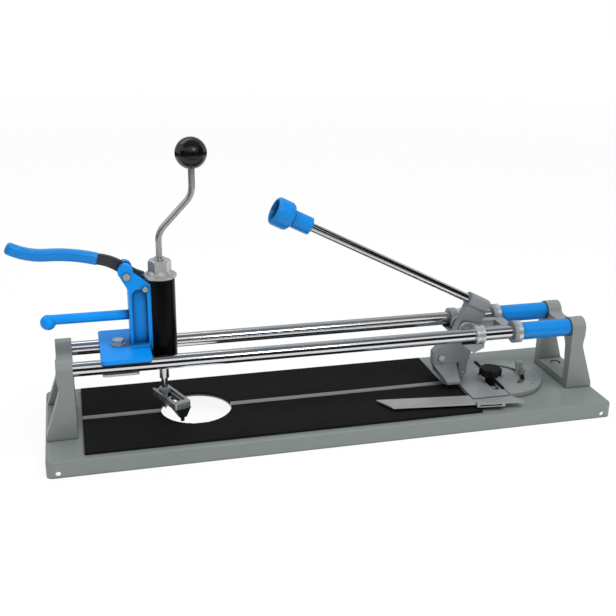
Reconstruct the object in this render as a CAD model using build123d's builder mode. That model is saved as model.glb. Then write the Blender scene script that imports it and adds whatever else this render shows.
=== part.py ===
"""Manual tile cutter with twin rails, a scoring lever, an angle stop and a hole cutter.

The origin lies on the ground under the middle of the base. +X runs along the rails
towards the angle stop, -Y faces the user and +Z is up. All sizes are in millimetres.
"""

from build123d import *
from math import cos, radians, sin
import os

# Clearances
TOUCH = 0.1  # flat faces that slide on each other
RUN = 0.06  # radial, round a pin, shaft or rail that something moves on
AIR = 0.3  # between pieces that only pass each other

# Base pan, pressed from sheet with its rim turned down
BASE_LENGTH = 740.0
BASE_WIDTH = 205.0
BASE_HEIGHT = 21.0
BASE_SHEET = 2.0
BASE_CORNER = 6.0  # inside radius of the rim's corners
BASE_BEND = 1.5  # inside radius of the bend round the top
FLANGE_HOLE = 6.5
FLANGE_HOLE_INSET = 14.0
FLANGE_HOLE_Z = 5.5

# Rubber mats and the strip that a tile breaks over
PAD_THICKNESS = 4.0
PAD_START = 46.0  # from the base's left end
PAD_MARGIN = 10.5  # from the base's long edges
FRONT_PAD_GAP = 63.0  # from the mat's end to the angle stop's pivot
REAR_PAD_GAP = 84.0
RIDGE_WIDTH = 9.0
RIDGE_HEIGHT = 5.0
RIDGE_ROUND = 1.2
WASTE_HOLE = 92.0

# Rails and the cast posts that carry them
RAIL_DIAMETER = 18.0
RAIL_WALL = 1.5
RAIL_SPACING = 68.0
RAIL_RISE = 86.6  # rail axis above the base's top
RAIL_SOCKET = 13.0
BOSS_WALL = 5.0
POST_INSET = 39.0  # from the base's end to the post's inner face
POST_HEAD = 20.0
POST_WAIST = 17.5
POST_FOOT = 37.0
HEAD_DROP = 9.0  # below the rail axis, where the head starts to narrow
WAIST_DROP = 23.0
WAIST_ROUND = 24.0
HEAD_ROUND = 8.0
POST_SILL = 10.0  # height of the sill between the legs
FOOT_EDGE = 6.0
SADDLE_ROUND = 7.0
WINDOW_FOOT = 72.0
WINDOW_TOP = 62.0
WINDOW_DROP = 10.5  # window's top below the rail axis
WINDOW_ROUND = 20.0
POST_BOLT = 6.0
POST_BOLT_OFFSET = 18.5  # from the post's inner face
POST_BOLT_Y = 20.0
POST_BOLT_TAIL = 6.0  # below the pan's sheet
POST_BOLT_HEAD = 10.0
POST_BOLT_HEAD_HEIGHT = 4.0
SILL_POCKET = 15.0
SILL_POCKET_DEPTH = 5.0
SLEEVE_DIAMETER = 24.0
SLEEVE_LENGTH = 72.7

# Carriage that rides on the rails
CARRIAGE_LENGTH = 72.0
FRAME_WIDTH = 44.0
FRAME_THICKNESS = 10.0
FRAME_DROP = 8.6  # frame's underside below the rail axis
SLOT_WIDTH = 21.0
SLOT_END_WALL = 15.0
BUSH_DIAMETER = 26.0
BUSH_LENGTH = 12.0
BUSH_SETBACK = 54.0  # from the carriage's right face
BUSH_GROOVE = 0.8
END_BUSH_DIAMETER = 30.0
END_BUSH_LENGTH = 6.0
END_LUG = 5.0
CRADLE_DEPTH = 13.5  # below the rail's underside
CRADLE_WIDTH = 20.0
CRADLE_LENGTH = 30.0
REAR_LUG_WALL = 5.4
REAR_LUG_LENGTH = 9.0
PIVOT_SETBACK = 68.0  # from the carriage's right face
PIVOT_DROP = 0.6  # below the rail axis
PIVOT_PIN = 8.0
PIN_HEAD = 12.0
PIN_HEAD_HEIGHT = 2.5
EAR_RADIUS = 11.0
EAR_THICKNESS = 6.5

# Scoring and breaking lever
LEVER_THICKNESS = 14.0
LEVER_BOSS = 18.0
HANDLE_ANGLE = 26.85
HANDLE_ROD = 11.5
HANDLE_LENGTH = 317.5  # from the socket's middle to the cap's end
SOCKET_X = 18.5  # socket's middle from the pivot
SOCKET_Z = 34.0
SOCKET_LENGTH = 30.0
SOCKET_WIDTH = 18.0
SOCKET_ROUND = 5.0
SOCKET_FLOOR = 4.0
CAP_LENGTH = 51.5
CAP_DIAMETER = 36.8
CAP_BULB = 25.0
CAP_NECK = 23.0
CAP_RIM = 4.0
CAP_DISH = 28.0
CAP_DISH_FLOOR = 24.0
CAP_DISH_DEPTH = 8.0
CAP_CORE = 5.0  # solid plastic between the dish and the rod's end
NOSE_REACH = 42.0  # nose's left face from the pivot
NOSE_WIDTH = 33.0
NOSE_RISE = 36.0  # nose's underside above the base's top
NOSE_HEIGHT = 17.0  # upright front of the nose
NOSE_SLANT = 12.0
FOOT_LENGTH = 19.0
FOOT_WIDTH = 55.0
FOOT_THICKNESS = 4.0
FOOT_REACH = 29.0  # foot's left edge from the pivot
FOOT_RISE = 13.0  # foot's sole above the base's top
FOOT_TANG = 6.0
FOOT_TANG_LENGTH = 18.0
FOOT_TANG_HEIGHT = 16.0
FOOT_SCREW = 6.0
FOOT_SCREW_HEAD = 10.0
FOOT_SCREW_HEAD_HEIGHT = 2.5
FOOT_SCREW_X = 11.0  # from the nose's left face
FOOT_SCREW_Z = 9.0  # above the nose's underside
WHEEL_DIAMETER = 15.0
WHEEL_WIDTH = 2.0
WHEEL_BEVEL = 0.9
WHEEL_X = 2.5  # wheel's axis from the pivot
AXLE_DIAMETER = 5.0
FORK_WALL = 3.5
FORK_RADIUS = 6.0

# Angle stop
ANGLE_INSET = 121.0  # pivot from the base's right end
ANGLE_RADIUS = 60.0
ANGLE_CHORD = 9.5  # straight side of the half disc, left of the pivot
ANGLE_THICKNESS = 6.9
TONGUE_LENGTH = 44.0
TONGUE_WIDTH = 68.0
TONGUE_THICKNESS = 5.0
ANGLE_PIN = 8.0
ANGLE_PIN_HEAD = 15.0
ANGLE_PIN_HEAD_HEIGHT = 2.8
CLAMP_RADIUS = 34.0
CLAMP_SLOT = 7.0
CLAMP_SLOT_LOW = -55.0
CLAMP_SLOT_HIGH = 70.0
CLAMP_STUD = 6.0
CLAMP_STUD_HEIGHT = 18.0
WING_HUB = 13.0
WING_HUB_HEIGHT = 8.0
WING_SPAN = 30.0
WING_HEIGHT = 15.0
WING_THICKNESS = 3.0
WING_ROOT = 1.0  # wings' lower edge above the hub's foot

# Fence and ruler on the angle stop
FENCE_GAP = 5.0  # open gap between the fence and the half disc
GAP_BRIDGE = 6.0  # left standing at either end of the gap's slot
FENCE_WIDTH = 53.0
FENCE_FRONT = 52.0
FENCE_REAR = 50.0
FENCE_THICKNESS = 5.3
FENCE_FLANGE = 15.0  # low flange along the right side, under the knob
FENCE_FLANGE_THICKNESS = 2.2
FENCE_LIP = 9.0  # lap over the ruler's rear edge
FENCE_SLOT = 11.0
FENCE_SLOT_FRONT = 44.5
FENCE_SLOT_REAR = 12.0
KNOB_DIAMETER = 31.0
KNOB_LOBE = 9.0
KNOB_LOBES = 6
KNOB_HEIGHT = 9.0
KNOB_CHAMFER = 1.2
KNOB_STEM = 13.0
KNOB_STEM_HEIGHT = 13.0
KNOB_STUD = 6.0
KNOB_Y = 21.0
RULER_ANGLE = 6.5
RULER_LENGTH = 196.0
RULER_LEFT = 154.5  # left end from the middle of the fence
RULER_SETOFF = 8.0  # rear edge in front of the fence
RULER_WIDTH = 26.0
RULER_SHOULDER = 24.0  # where the right end starts to narrow, from the middle of the fence
RULER_TIP = 5.0  # width left at the right end
RULER_NOTCH = 18.0  # slant of the left end
RULER_THICKNESS = 1.8
RULER_BEVEL = 1.2
CLIP_LENGTH = 38.0
CLIP_OFFSET = 6.0  # left of the middle of the fence
CLIP_SHEET = 1.5
CLIP_LIP = 7.0
CLIP_PLAY = 3.0  # in front of the ruler's edge
CLIP_WINDOW = 30.0

# Hole cutter's bracket, clamped on the rails
SPINDLE_INSET = 151.5  # spindle axis from the base's left end
PARKED = 39.5  # spindle from the waste hole's middle as it stands
PLATE_FAR = 78.5
PLATE_NEAR = 17.5
PLATE_OVERHANG = 18.0
PLATE_THICKNESS = 5.0
PLATE_ROUND = 5.0
COLUMN_FAR = 40.5
COLUMN_NEAR = 11.5
COLUMN_WIDTH = 25.0
COLUMN_FOOT = 4.0
COLUMN_FILLET = 3.0
PANEL_DEPTH = 5.0
PANEL_RIB = 4.0
PANEL_WIDTH = 18.5
PANEL_TOP = 17.0  # below the lever pin
HEAD_RADIUS = 8.0
HEAD_RISE = 15.5
LEVER_PIN_REACH = 41.5
LEVER_PIN_RISE = 5.5  # above the washer's underside
LEVER_PIN = 6.0
LEVER_PIN_HEAD = 9.0
LEVER_PIN_HEAD_HEIGHT = 1.5
LEVER_SLOT_GAP = 0.4
NECK_DROP = 17.5
LEVER_SLOT_DROP = 10.0
CLAMP_BOLT = 8.0
CLAMP_BOLT_X = 55.5
CLAMP_HEAD = 13.0
CLAMP_HEAD_HEIGHT = 5.3
CLAMP_WASHER = 17.0
CLAMP_WASHER_THICKNESS = 1.6
CLAMP_NUT_HEIGHT = 6.5
CLAMP_PLATE_LENGTH = 45.0
CLAMP_PLATE_WIDTH = 77.0
CLAMP_PLATE_THICKNESS = 3.0

# Spring housing, spindle and crank
HOUSING_DIAMETER = 36.0
HOUSING_WALL = 2.5
HOUSING_LOW = 7.6  # below the rail axis
HOUSING_HEIGHT = 104.5
HOUSING_CAP = 4.5
BUSH_HEIGHT = 10.0
HOUSING_SCREW = 4.0
HOUSING_SCREW_HEAD = 7.0
HOUSING_SCREW_HEAD_HEIGHT = 3.0
HOUSING_SCREW_LENGTH = 9.0
HOUSING_SCREW_DROP = 8.0
HOUSING_SCREW_X = 20.0
SPINDLE_DIAMETER = 12.4
SPINDLE_NECK = 8.5
SPINDLE_NECK_LENGTH = 14.0
SPINDLE_STUD = 8.0
SPINDLE_COLLAR = 28.0
COLLAR_HEIGHT = 4.0
COLLAR_GAP = 2.0  # above the guide bush
SPRING_DIAMETER = 23.0
SPRING_WALL = 4.0
WASHER_DIAMETER = 41.0
WASHER_THICKNESS = 3.5
WASHER_RISE = 3.5  # above the housing
NUT_ACROSS = 25.0
NUT_HEIGHT = 17.5
NUT_CHAMFER = 1.8
NUT_SKIRT = 33.0
NUT_SKIRT_HEIGHT = 5.0
SPINDLE_TIP = 3.5  # above the nut
CRANK_ROD = 8.0
CRANK_FOOT = 31.0  # straight foot of the crank above the spindle
CRANK_THROW = 42.5
CRANK_RISE = 45.0
CRANK_GRIP = 32.0
CRANK_BEND = 26.0
CRANK_SOCKET = 12.0
KNOB_BALL = 38.5
KNOB_SOCKET = 16.0
KNOB_SEAT = 18.5  # ball's middle above its flat

# Cutter arm
ARM_HEIGHT = 25.0  # arm's underside above the base's top
ARM_THICKNESS = 8.0
ARM_WIDTH = 23.0
ARM_BEARING = -68.0
ARM_TAIL = 14.0
ARM_REACH = 48.0
ARM_SLOT = 9.0
ARM_SLOT_END = 36.0
ARM_CHANNEL = 15.6
ARM_CHANNEL_DEPTH = 2.5
ARM_NUT = 13.0
ARM_NUT_HEIGHT = 6.5
PILOT_COLLAR = 14.0
PILOT_COLLAR_HEIGHT = 6.0
PILOT_DRILL = 6.0
PILOT_LENGTH = 12.8
PILOT_POINT = 4.0
PILOT_FLAT = 0.6
HOLDER_WIDTH = 22.0
HOLDER_LENGTH = 13.0
HOLDER_HEIGHT = 12.0
HOLDER_TIP_WIDTH = 9.0
HOLDER_TIP_LENGTH = 6.0
TIP_HEIGHT = 6.0
TIP_WIDTH = 4.0

# Squeeze lever and the fixed handle under it
STRAP_THICKNESS = 6.0
STRAP_REACH = 33.5  # from the pin to the grip
STRAP_RISE = 21.5
STRAP_HEIGHT = 13.0
TANG_LENGTH = 25.0
TANG_HEIGHT = 8.0
GRIP_SPAN = 58.0
GRIP_CROWN = 2.2
GRIP_RISE = 8.2
GRIP_TAIL = 45.0
GRIP_TAIL_RISE = 12.5
GRIP_HEIGHT = 14.5
GRIP_WIDTH = 14.0
GRIP_ROUND = 5.0
GRIP_END_ROUND = 4.5
JAW_GAP = 1.15  # above and below the washer's rim
JAW_LAP = 1.5  # how far the jaw reaches over the rim
JAW_ROOT = 4.0
JAW_NOSE = 2.0
LOWER_HANDLE = 12.5
LOWER_HANDLE_LENGTH = 97.0
LOWER_HANDLE_Z = 39.0  # above the bracket's plate
LOWER_HANDLE_TANG = 9.0
LOWER_BALL = 19.0
LOWER_BALL_DROP = 3.0

# Places worked out from the sizes above
base_end = BASE_LENGTH / 2
base_side = BASE_WIDTH / 2
base_top = BASE_HEIGHT
rail_radius = RAIL_DIAMETER / 2
rail_y = RAIL_SPACING / 2
rail_z = base_top + RAIL_RISE
boss_radius = rail_radius + BOSS_WALL
post_face = base_end - POST_INSET
post_side = rail_y + boss_radius
post_bolt_x = post_face + POST_BOLT_OFFSET
carriage_right = post_face - SLEEVE_LENGTH - AIR
pivot_x = carriage_right - PIVOT_SETBACK
pivot_z = rail_z - PIVOT_DROP
angle_x = base_end - ANGLE_INSET
spindle_x = SPINDLE_INSET - base_end
hole_x = spindle_x + PARKED
STAND = (Align.CENTER, Align.CENTER, Align.MIN)


def keep(piece, name):
    """Labels a finished piece and writes it to a file of its own."""
    piece.part.label = name
    export_step(piece.part, f"parts/{name}.step")


os.makedirs("parts", exist_ok=True)

# Base pan: a shell that is open underneath, with its rim turned down all round
with BuildPart() as base_pan:
    with BuildSketch():
        RectangleRounded(BASE_LENGTH, BASE_WIDTH, BASE_CORNER + BASE_SHEET)
    extrude(amount=BASE_HEIGHT)
    fillet(base_pan.faces().sort_by(Axis.Z)[-1].edges(), BASE_BEND + BASE_SHEET)
    offset(amount=-BASE_SHEET, openings=base_pan.faces().sort_by(Axis.Z)[0])
    with BuildSketch(Plane.XY.offset(base_top)):
        with Locations((hole_x, 0)):
            Circle(WASTE_HOLE / 2)
        with Locations((angle_x, 0)):
            Circle(ANGLE_PIN / 2)
        with Locations((angle_x + CLAMP_RADIUS, 0)):
            Circle(CLAMP_STUD / 2)
        with GridLocations(2 * post_bolt_x, 2 * POST_BOLT_Y, 2, 2):
            Circle(POST_BOLT / 2)
    extrude(amount=-2 * BASE_SHEET, mode=Mode.SUBTRACT)
    with BuildSketch(Plane.XZ):
        with Locations((0, FLANGE_HOLE_Z)):
            with GridLocations(2 * (base_end - FLANGE_HOLE_INSET), 1, 2, 1):
                Circle(FLANGE_HOLE / 2)
    extrude(amount=BASE_WIDTH, both=True, mode=Mode.SUBTRACT)
keep(base_pan, "base_pan")

# Rubber mats on either side of the breaking ridge
for name, side, gap in (("front_pad", -1, FRONT_PAD_GAP), ("rear_pad", 1, REAR_PAD_GAP)):
    pad_length = angle_x - gap + base_end - PAD_START
    pad_width = base_side - PAD_MARGIN - RIDGE_WIDTH / 2
    with BuildPart() as pad:
        with BuildSketch(Plane.XY.offset(base_top)):
            with Locations((PAD_START - base_end + pad_length / 2, side * (RIDGE_WIDTH + pad_width) / 2)):
                Rectangle(pad_length, pad_width)
            with Locations((hole_x, 0)):
                Circle(WASTE_HOLE / 2, mode=Mode.SUBTRACT)
        extrude(amount=PAD_THICKNESS)
    keep(pad, name)

# Breaking ridge, interrupted by the waste hole
ridge_length = angle_x - REAR_PAD_GAP + base_end - PAD_START
with BuildPart() as breaking_ridge:
    with BuildSketch(Plane.YZ.offset(PAD_START - base_end)) as ridge_section:
        with Locations((0, base_top + RIDGE_HEIGHT / 2)):
            Rectangle(RIDGE_WIDTH, RIDGE_HEIGHT)
        fillet(ridge_section.vertices().group_by(Axis.Y)[-1], RIDGE_ROUND)
    extrude(amount=ridge_length)
    with Locations((hole_x, 0, base_top)):
        Cylinder(WASTE_HOLE / 2, 2 * RIDGE_HEIGHT, mode=Mode.SUBTRACT)
keep(breaking_ridge, "breaking_ridge")

# Cast posts: two bosses and flared legs round an arched window over a sill
sill_z = base_top + POST_SILL - SILL_POCKET_DEPTH
for name, side in (("left_post", -1), ("right_post", 1)):
    with BuildPart() as post:
        with BuildSketch(Plane.YZ.offset(side * post_face)) as front:
            with Locations((0, base_top + RAIL_RISE / 2)):
                Rectangle(2 * post_side, RAIL_RISE)
            with Locations((-rail_y, rail_z), (rail_y, rail_z)):
                Circle(boss_radius)
            fillet(front.vertices().filter_by(lambda v: abs(v.X) < rail_y), SADDLE_ROUND)
        extrude(amount=side * POST_FOOT)
        with BuildSketch(Plane.XZ) as flank:
            with BuildLine():
                Polyline(
                    (side * post_face, base_top),
                    (side * post_face, rail_z + 2 * boss_radius),
                    (side * (post_face + POST_HEAD), rail_z + 2 * boss_radius),
                    (side * (post_face + POST_HEAD), rail_z - HEAD_DROP),
                    (side * (post_face + POST_WAIST), rail_z - WAIST_DROP),
                    (side * (post_face + POST_FOOT), base_top + FOOT_EDGE),
                    (side * (post_face + POST_FOOT), base_top),
                    close=True,
                )
            make_face()
            fillet(flank.vertices().filter_by(lambda v: abs(v.Y - rail_z + WAIST_DROP) < AIR), WAIST_ROUND)
            fillet(flank.vertices().filter_by(lambda v: abs(v.Y - rail_z + HEAD_DROP) < AIR), HEAD_ROUND)
        extrude(amount=BASE_WIDTH, both=True, mode=Mode.INTERSECT)
        with BuildSketch(Plane.YZ.offset(side * post_face)) as window:
            with BuildLine():
                Polyline(
                    (-WINDOW_FOOT / 2, base_top + POST_SILL),
                    (-WINDOW_TOP / 2, rail_z - WINDOW_DROP),
                    (WINDOW_TOP / 2, rail_z - WINDOW_DROP),
                    (WINDOW_FOOT / 2, base_top + POST_SILL),
                    close=True,
                )
            make_face()
            fillet(window.vertices().group_by(Axis.Y)[-1], WINDOW_ROUND)
        extrude(amount=side * POST_FOOT, mode=Mode.SUBTRACT)
        with BuildSketch(Plane.YZ.offset(side * post_face)):
            with Locations((-rail_y, rail_z), (rail_y, rail_z)):
                Circle(rail_radius + RUN)
        extrude(amount=side * RAIL_SOCKET, mode=Mode.SUBTRACT)
        with Locations((side * post_bolt_x, -POST_BOLT_Y, sill_z), (side * post_bolt_x, POST_BOLT_Y, sill_z)):
            Cylinder(SILL_POCKET / 2, POST_SILL, align=STAND, mode=Mode.SUBTRACT)
            Cylinder(POST_BOLT / 2, 2 * POST_SILL, mode=Mode.SUBTRACT)
    keep(post, name)

# Hexagon screws in the sills' pockets that hold the posts on the pan
with BuildPart() as post_bolts:
    with BuildSketch(Plane.XY.offset(sill_z)):
        with GridLocations(2 * post_bolt_x, 2 * POST_BOLT_Y, 2, 2):
            RegularPolygon(POST_BOLT_HEAD / 2, 6, major_radius=False)
    extrude(amount=POST_BOLT_HEAD_HEIGHT)
    with BuildSketch(Plane.XY.offset(sill_z)):
        with GridLocations(2 * post_bolt_x, 2 * POST_BOLT_Y, 2, 2):
            Circle(POST_BOLT / 2)
    extrude(amount=base_top - BASE_SHEET - POST_BOLT_TAIL - sill_z)
keep(post_bolts, "post_bolts")

# Rails seated in the posts, with a stop sleeve on the right end of each
rail_end = post_face + RAIL_SOCKET
for name, side in (("front", -1), ("rear", 1)):
    with BuildPart() as rail:
        with BuildSketch(Plane.YZ.offset(-rail_end)):
            with Locations((side * rail_y, rail_z)):
                Circle(rail_radius)
                Circle(rail_radius - RAIL_WALL, mode=Mode.SUBTRACT)
        extrude(amount=2 * rail_end)
    keep(rail, f"{name}_rail")
    with BuildPart() as sleeve:
        with BuildSketch(Plane.YZ.offset(post_face)):
            with Locations((side * rail_y, rail_z)):
                Circle(SLEEVE_DIAMETER / 2)
                Circle(rail_radius + RUN, mode=Mode.SUBTRACT)
        extrude(amount=-SLEEVE_LENGTH)
    keep(sleeve, f"{name}_sleeve")

# Carriage casting: a slotted frame with bearing lugs, cradles and the lever's ears
frame_low = rail_z - FRAME_DROP
frame_high = frame_low + FRAME_THICKNESS
carriage_left = carriage_right - CARRIAGE_LENGTH
slot_end = carriage_right - SLOT_END_WALL
end_lug_x = carriage_right - END_BUSH_LENGTH - END_LUG
bush_x = carriage_right - BUSH_SETBACK
bush_left = bush_x - BUSH_LENGTH
cradle_left = bush_x - CRADLE_LENGTH
cradle_top = rail_z - rail_radius - 3 * AIR
cradle_low = rail_z - rail_radius - CRADLE_DEPTH
ear_side = SLOT_WIDTH / 2 + EAR_THICKNESS
with BuildPart() as carriage_body:
    with BuildSketch(Plane.XY.offset(frame_low)):
        with Locations(((carriage_left + carriage_right) / 2, 0)):
            Rectangle(CARRIAGE_LENGTH, FRAME_WIDTH)
    extrude(amount=FRAME_THICKNESS)
    with BuildSketch(Plane.XZ):
        with Locations((pivot_x, pivot_z)):
            Circle(EAR_RADIUS)
        with BuildLine():
            Polyline(
                (pivot_x, pivot_z + EAR_RADIUS),
                (pivot_x + 3 * EAR_RADIUS, frame_high),
                (pivot_x + 3 * EAR_RADIUS, frame_low),
                (pivot_x, frame_low),
                close=True,
            )
        make_face()
    extrude(amount=ear_side, both=True)
    with BuildSketch(Plane.YZ.offset(end_lug_x)):
        with Locations((-rail_y, rail_z), (rail_y, rail_z)):
            Circle(END_BUSH_DIAMETER / 2)
        with Locations((0, (frame_low + frame_high) / 2)):
            Rectangle(RAIL_SPACING, FRAME_THICKNESS)
    extrude(amount=END_LUG)
    for side in (-1, 1):
        with BuildSketch(Plane.XZ.offset(-side * (rail_y - CRADLE_WIDTH))) as cradle:
            with BuildLine():
                Polyline(
                    (cradle_left, cradle_top),
                    (bush_x, cradle_top),
                    (bush_x, cradle_low + CRADLE_DEPTH / 2),
                    ((cradle_left + bush_x) / 2, cradle_low),
                    close=True,
                )
            make_face()
        extrude(amount=-side * (CRADLE_WIDTH + rail_radius))
        with Locations(((carriage_left + bush_x) / 2, side * (rail_y - CRADLE_WIDTH), frame_low)):
            Box(bush_x - carriage_left, 2 * (CRADLE_WIDTH - rail_radius) - 4 * AIR, CRADLE_DEPTH)
    with BuildSketch(Plane.YZ.offset(bush_left)):
        with Locations((rail_y, rail_z)):
            Circle(rail_radius + REAR_LUG_WALL)
    extrude(amount=-REAR_LUG_LENGTH)
    with BuildSketch(Plane.YZ.offset(cradle_left)):
        with Locations((-rail_y, rail_z), (rail_y, rail_z)):
            Circle(rail_radius + AIR)
    extrude(amount=end_lug_x - cradle_left, mode=Mode.SUBTRACT)
    with BuildSketch(Plane.YZ.offset(end_lug_x)):
        with Locations((-rail_y, rail_z), (rail_y, rail_z)):
            Circle(rail_radius + RUN)
    extrude(amount=END_LUG, mode=Mode.SUBTRACT)
    with BuildSketch(Plane.YZ.offset(carriage_right)):
        with Locations((-rail_y, rail_z), (rail_y, rail_z)):
            Circle(END_BUSH_DIAMETER / 2)
    extrude(amount=-END_BUSH_LENGTH, mode=Mode.SUBTRACT)
    with BuildSketch(Plane.YZ.offset(bush_left)):
        with Locations((-rail_y, rail_z), (rail_y, rail_z)):
            Circle(BUSH_DIAMETER / 2)
    extrude(amount=BUSH_LENGTH, mode=Mode.SUBTRACT)
    with BuildSketch(Plane.XZ):
        with Locations(((cradle_left + slot_end) / 2, rail_z)):
            Rectangle(slot_end - cradle_left, 2 * RAIL_RISE)
    extrude(amount=SLOT_WIDTH / 2, both=True, mode=Mode.SUBTRACT)
    with BuildSketch(Plane.XZ):
        with Locations((pivot_x, pivot_z)):
            Circle(PIVOT_PIN / 2)
    extrude(amount=FRAME_WIDTH, both=True, mode=Mode.SUBTRACT)
    with BuildSketch(Plane.XZ.offset(ear_side), Plane.XZ.offset(-FRAME_WIDTH / 2)):
        with Locations((pivot_x, pivot_z)):
            Circle(PIN_HEAD / 2 + AIR)
    extrude(amount=FRAME_WIDTH / 2 - ear_side, mode=Mode.SUBTRACT)
keep(carriage_body, "carriage_body")

# Steel bushes that run on the rails
with BuildPart() as carriage_bushes:
    with BuildSketch(Plane.YZ.offset(bush_left)):
        with Locations((-rail_y, rail_z), (rail_y, rail_z)):
            Circle(BUSH_DIAMETER / 2)
            Circle(rail_radius + RUN, mode=Mode.SUBTRACT)
    extrude(amount=BUSH_LENGTH)
    with BuildSketch(Plane.YZ.offset(carriage_right - END_BUSH_LENGTH)):
        with Locations((-rail_y, rail_z), (rail_y, rail_z)):
            Circle(END_BUSH_DIAMETER / 2)
            Circle(rail_radius + RUN, mode=Mode.SUBTRACT)
    extrude(amount=END_BUSH_LENGTH)
    with BuildSketch(Plane.YZ.offset(bush_left + BUSH_LENGTH / 3)):
        with Locations((-rail_y, rail_z), (rail_y, rail_z)):
            Circle(BUSH_DIAMETER / 2)
            Circle(BUSH_DIAMETER / 2 - BUSH_GROOVE, mode=Mode.SUBTRACT)
    extrude(amount=BUSH_LENGTH / 3, mode=Mode.SUBTRACT)
keep(carriage_bushes, "carriage_bushes")

# Pin that the lever swings on
with BuildPart() as lever_pin:
    with BuildSketch(Plane.XZ):
        with Locations((pivot_x, pivot_z)):
            Circle(PIVOT_PIN / 2)
    extrude(amount=ear_side, both=True)
    with BuildSketch(Plane.XZ.offset(ear_side), Plane.XZ.offset(-ear_side - PIN_HEAD_HEIGHT)):
        with Locations((pivot_x, pivot_z)):
            Circle(PIN_HEAD / 2)
    extrude(amount=PIN_HEAD_HEIGHT)
keep(lever_pin, "lever_pin")

# Lever casting: rod socket, web through the rails, nose and wheel fork
handle_cos = cos(radians(HANDLE_ANGLE))
handle_sin = sin(radians(HANDLE_ANGLE))
socket_x = pivot_x + SOCKET_X
socket_z = pivot_z + SOCKET_Z
handle_axis = Plane((socket_x, 0, socket_z), x_dir=(0, 1, 0), z_dir=(-handle_cos, 0, handle_sin))
nose_left = pivot_x - NOSE_REACH
nose_right = nose_left + NOSE_WIDTH
sole_z = base_top + FOOT_RISE
wheel_x = pivot_x + WHEEL_X
wheel_z = sole_z + TOUCH + WHEEL_DIAMETER / 2
nose_z = base_top + NOSE_RISE
fork_side = WHEEL_WIDTH / 2 + AIR + FORK_WALL
lever_side = LEVER_THICKNESS / 2
foot_screw_x = nose_left + FOOT_SCREW_X
foot_screw_z = nose_z + FOOT_SCREW_Z
with BuildPart() as lever_casting:
    with BuildSketch(Plane.XZ) as web:
        with BuildLine():
            Polyline(
                (pivot_x - SOCKET_LENGTH / 2, pivot_z - EAR_RADIUS),
                (socket_x - SOCKET_LENGTH / 2 * handle_cos, socket_z + SOCKET_LENGTH / 2 * handle_sin),
                (socket_x + SOCKET_LENGTH / 2 * handle_cos, socket_z - SOCKET_LENGTH / 2 * handle_sin),
                (pivot_x + 2 * EAR_RADIUS, pivot_z),
                (wheel_x + FORK_RADIUS, nose_z),
                (nose_left, nose_z),
                (nose_left, nose_z + NOSE_HEIGHT),
                (nose_left + NOSE_SLANT, nose_z + NOSE_HEIGHT + NOSE_SLANT),
                close=True,
            )
        make_face()
    extrude(amount=lever_side, both=True)
    with BuildSketch(handle_axis):
        RectangleRounded(SOCKET_WIDTH, SOCKET_WIDTH, SOCKET_ROUND)
    extrude(amount=SOCKET_LENGTH / 2, both=True)
    with BuildSketch(Plane.XZ):
        with Locations((pivot_x, pivot_z)):
            Circle(LEVER_BOSS / 2)
    extrude(amount=SLOT_WIDTH / 2 - AIR, both=True)
    with BuildSketch(Plane.XZ):
        with Locations((wheel_x, wheel_z)):
            Circle(FORK_RADIUS)
        with Locations((wheel_x, (wheel_z + nose_z) / 2)):
            Rectangle(2 * FORK_RADIUS, nose_z - wheel_z)
    extrude(amount=fork_side, both=True)
    with BuildSketch(Plane.XZ):
        with Locations((wheel_x, wheel_z)):
            Circle(WHEEL_DIAMETER / 2 + 3 * AIR)
    extrude(amount=WHEEL_WIDTH / 2 + AIR, both=True, mode=Mode.SUBTRACT)
    with BuildSketch(Plane.XZ):
        with Locations((wheel_x, wheel_z)):
            Circle(AXLE_DIAMETER / 2)
        with Locations((pivot_x, pivot_z)):
            Circle(PIVOT_PIN / 2 + RUN)
        with Locations((foot_screw_x, foot_screw_z)):
            Circle(FOOT_SCREW / 2)
    extrude(amount=FRAME_WIDTH, both=True, mode=Mode.SUBTRACT)
    with BuildSketch(Plane.XY.offset(nose_z)):
        with Locations((foot_screw_x, 0)):
            Rectangle(FOOT_TANG_LENGTH, FOOT_TANG)
    extrude(amount=FOOT_TANG_HEIGHT, mode=Mode.SUBTRACT)
    with BuildSketch(handle_axis.offset(SOCKET_FLOOR - SOCKET_LENGTH / 2)):
        Circle(HANDLE_ROD / 2)
    extrude(amount=SOCKET_LENGTH, mode=Mode.SUBTRACT)
keep(lever_casting, "lever_casting")

# Breaker foot: a tent-shaped pressing foot held in the nose by a tang
foot_mid = pivot_x - FOOT_REACH + FOOT_LENGTH / 2
foot_top = sole_z + FOOT_THICKNESS
with BuildPart() as breaker_foot:
    with BuildSketch(Plane.XY.offset(sole_z)):
        with Locations((foot_mid, 0)):
            Rectangle(FOOT_LENGTH, FOOT_WIDTH)
    extrude(amount=FOOT_THICKNESS)
    with BuildSketch(Plane.XY.offset(foot_top)):
        with Locations((foot_mid, 0)):
            Rectangle(FOOT_LENGTH, FOOT_WIDTH)
    with BuildSketch(Plane.XY.offset(nose_z)):
        with Locations(((nose_left + nose_right) / 2, 0)):
            Rectangle(NOSE_WIDTH, LEVER_THICKNESS)
    loft()
    with BuildSketch(Plane.XY.offset(nose_z)):
        with Locations((foot_screw_x, 0)):
            Rectangle(FOOT_TANG_LENGTH, FOOT_TANG)
    extrude(amount=FOOT_TANG_HEIGHT)
    with BuildSketch(Plane.XZ):
        with Locations((foot_screw_x, foot_screw_z)):
            Circle(FOOT_SCREW / 2)
    extrude(amount=FOOT_TANG, both=True, mode=Mode.SUBTRACT)
keep(breaker_foot, "breaker_foot")

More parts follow.
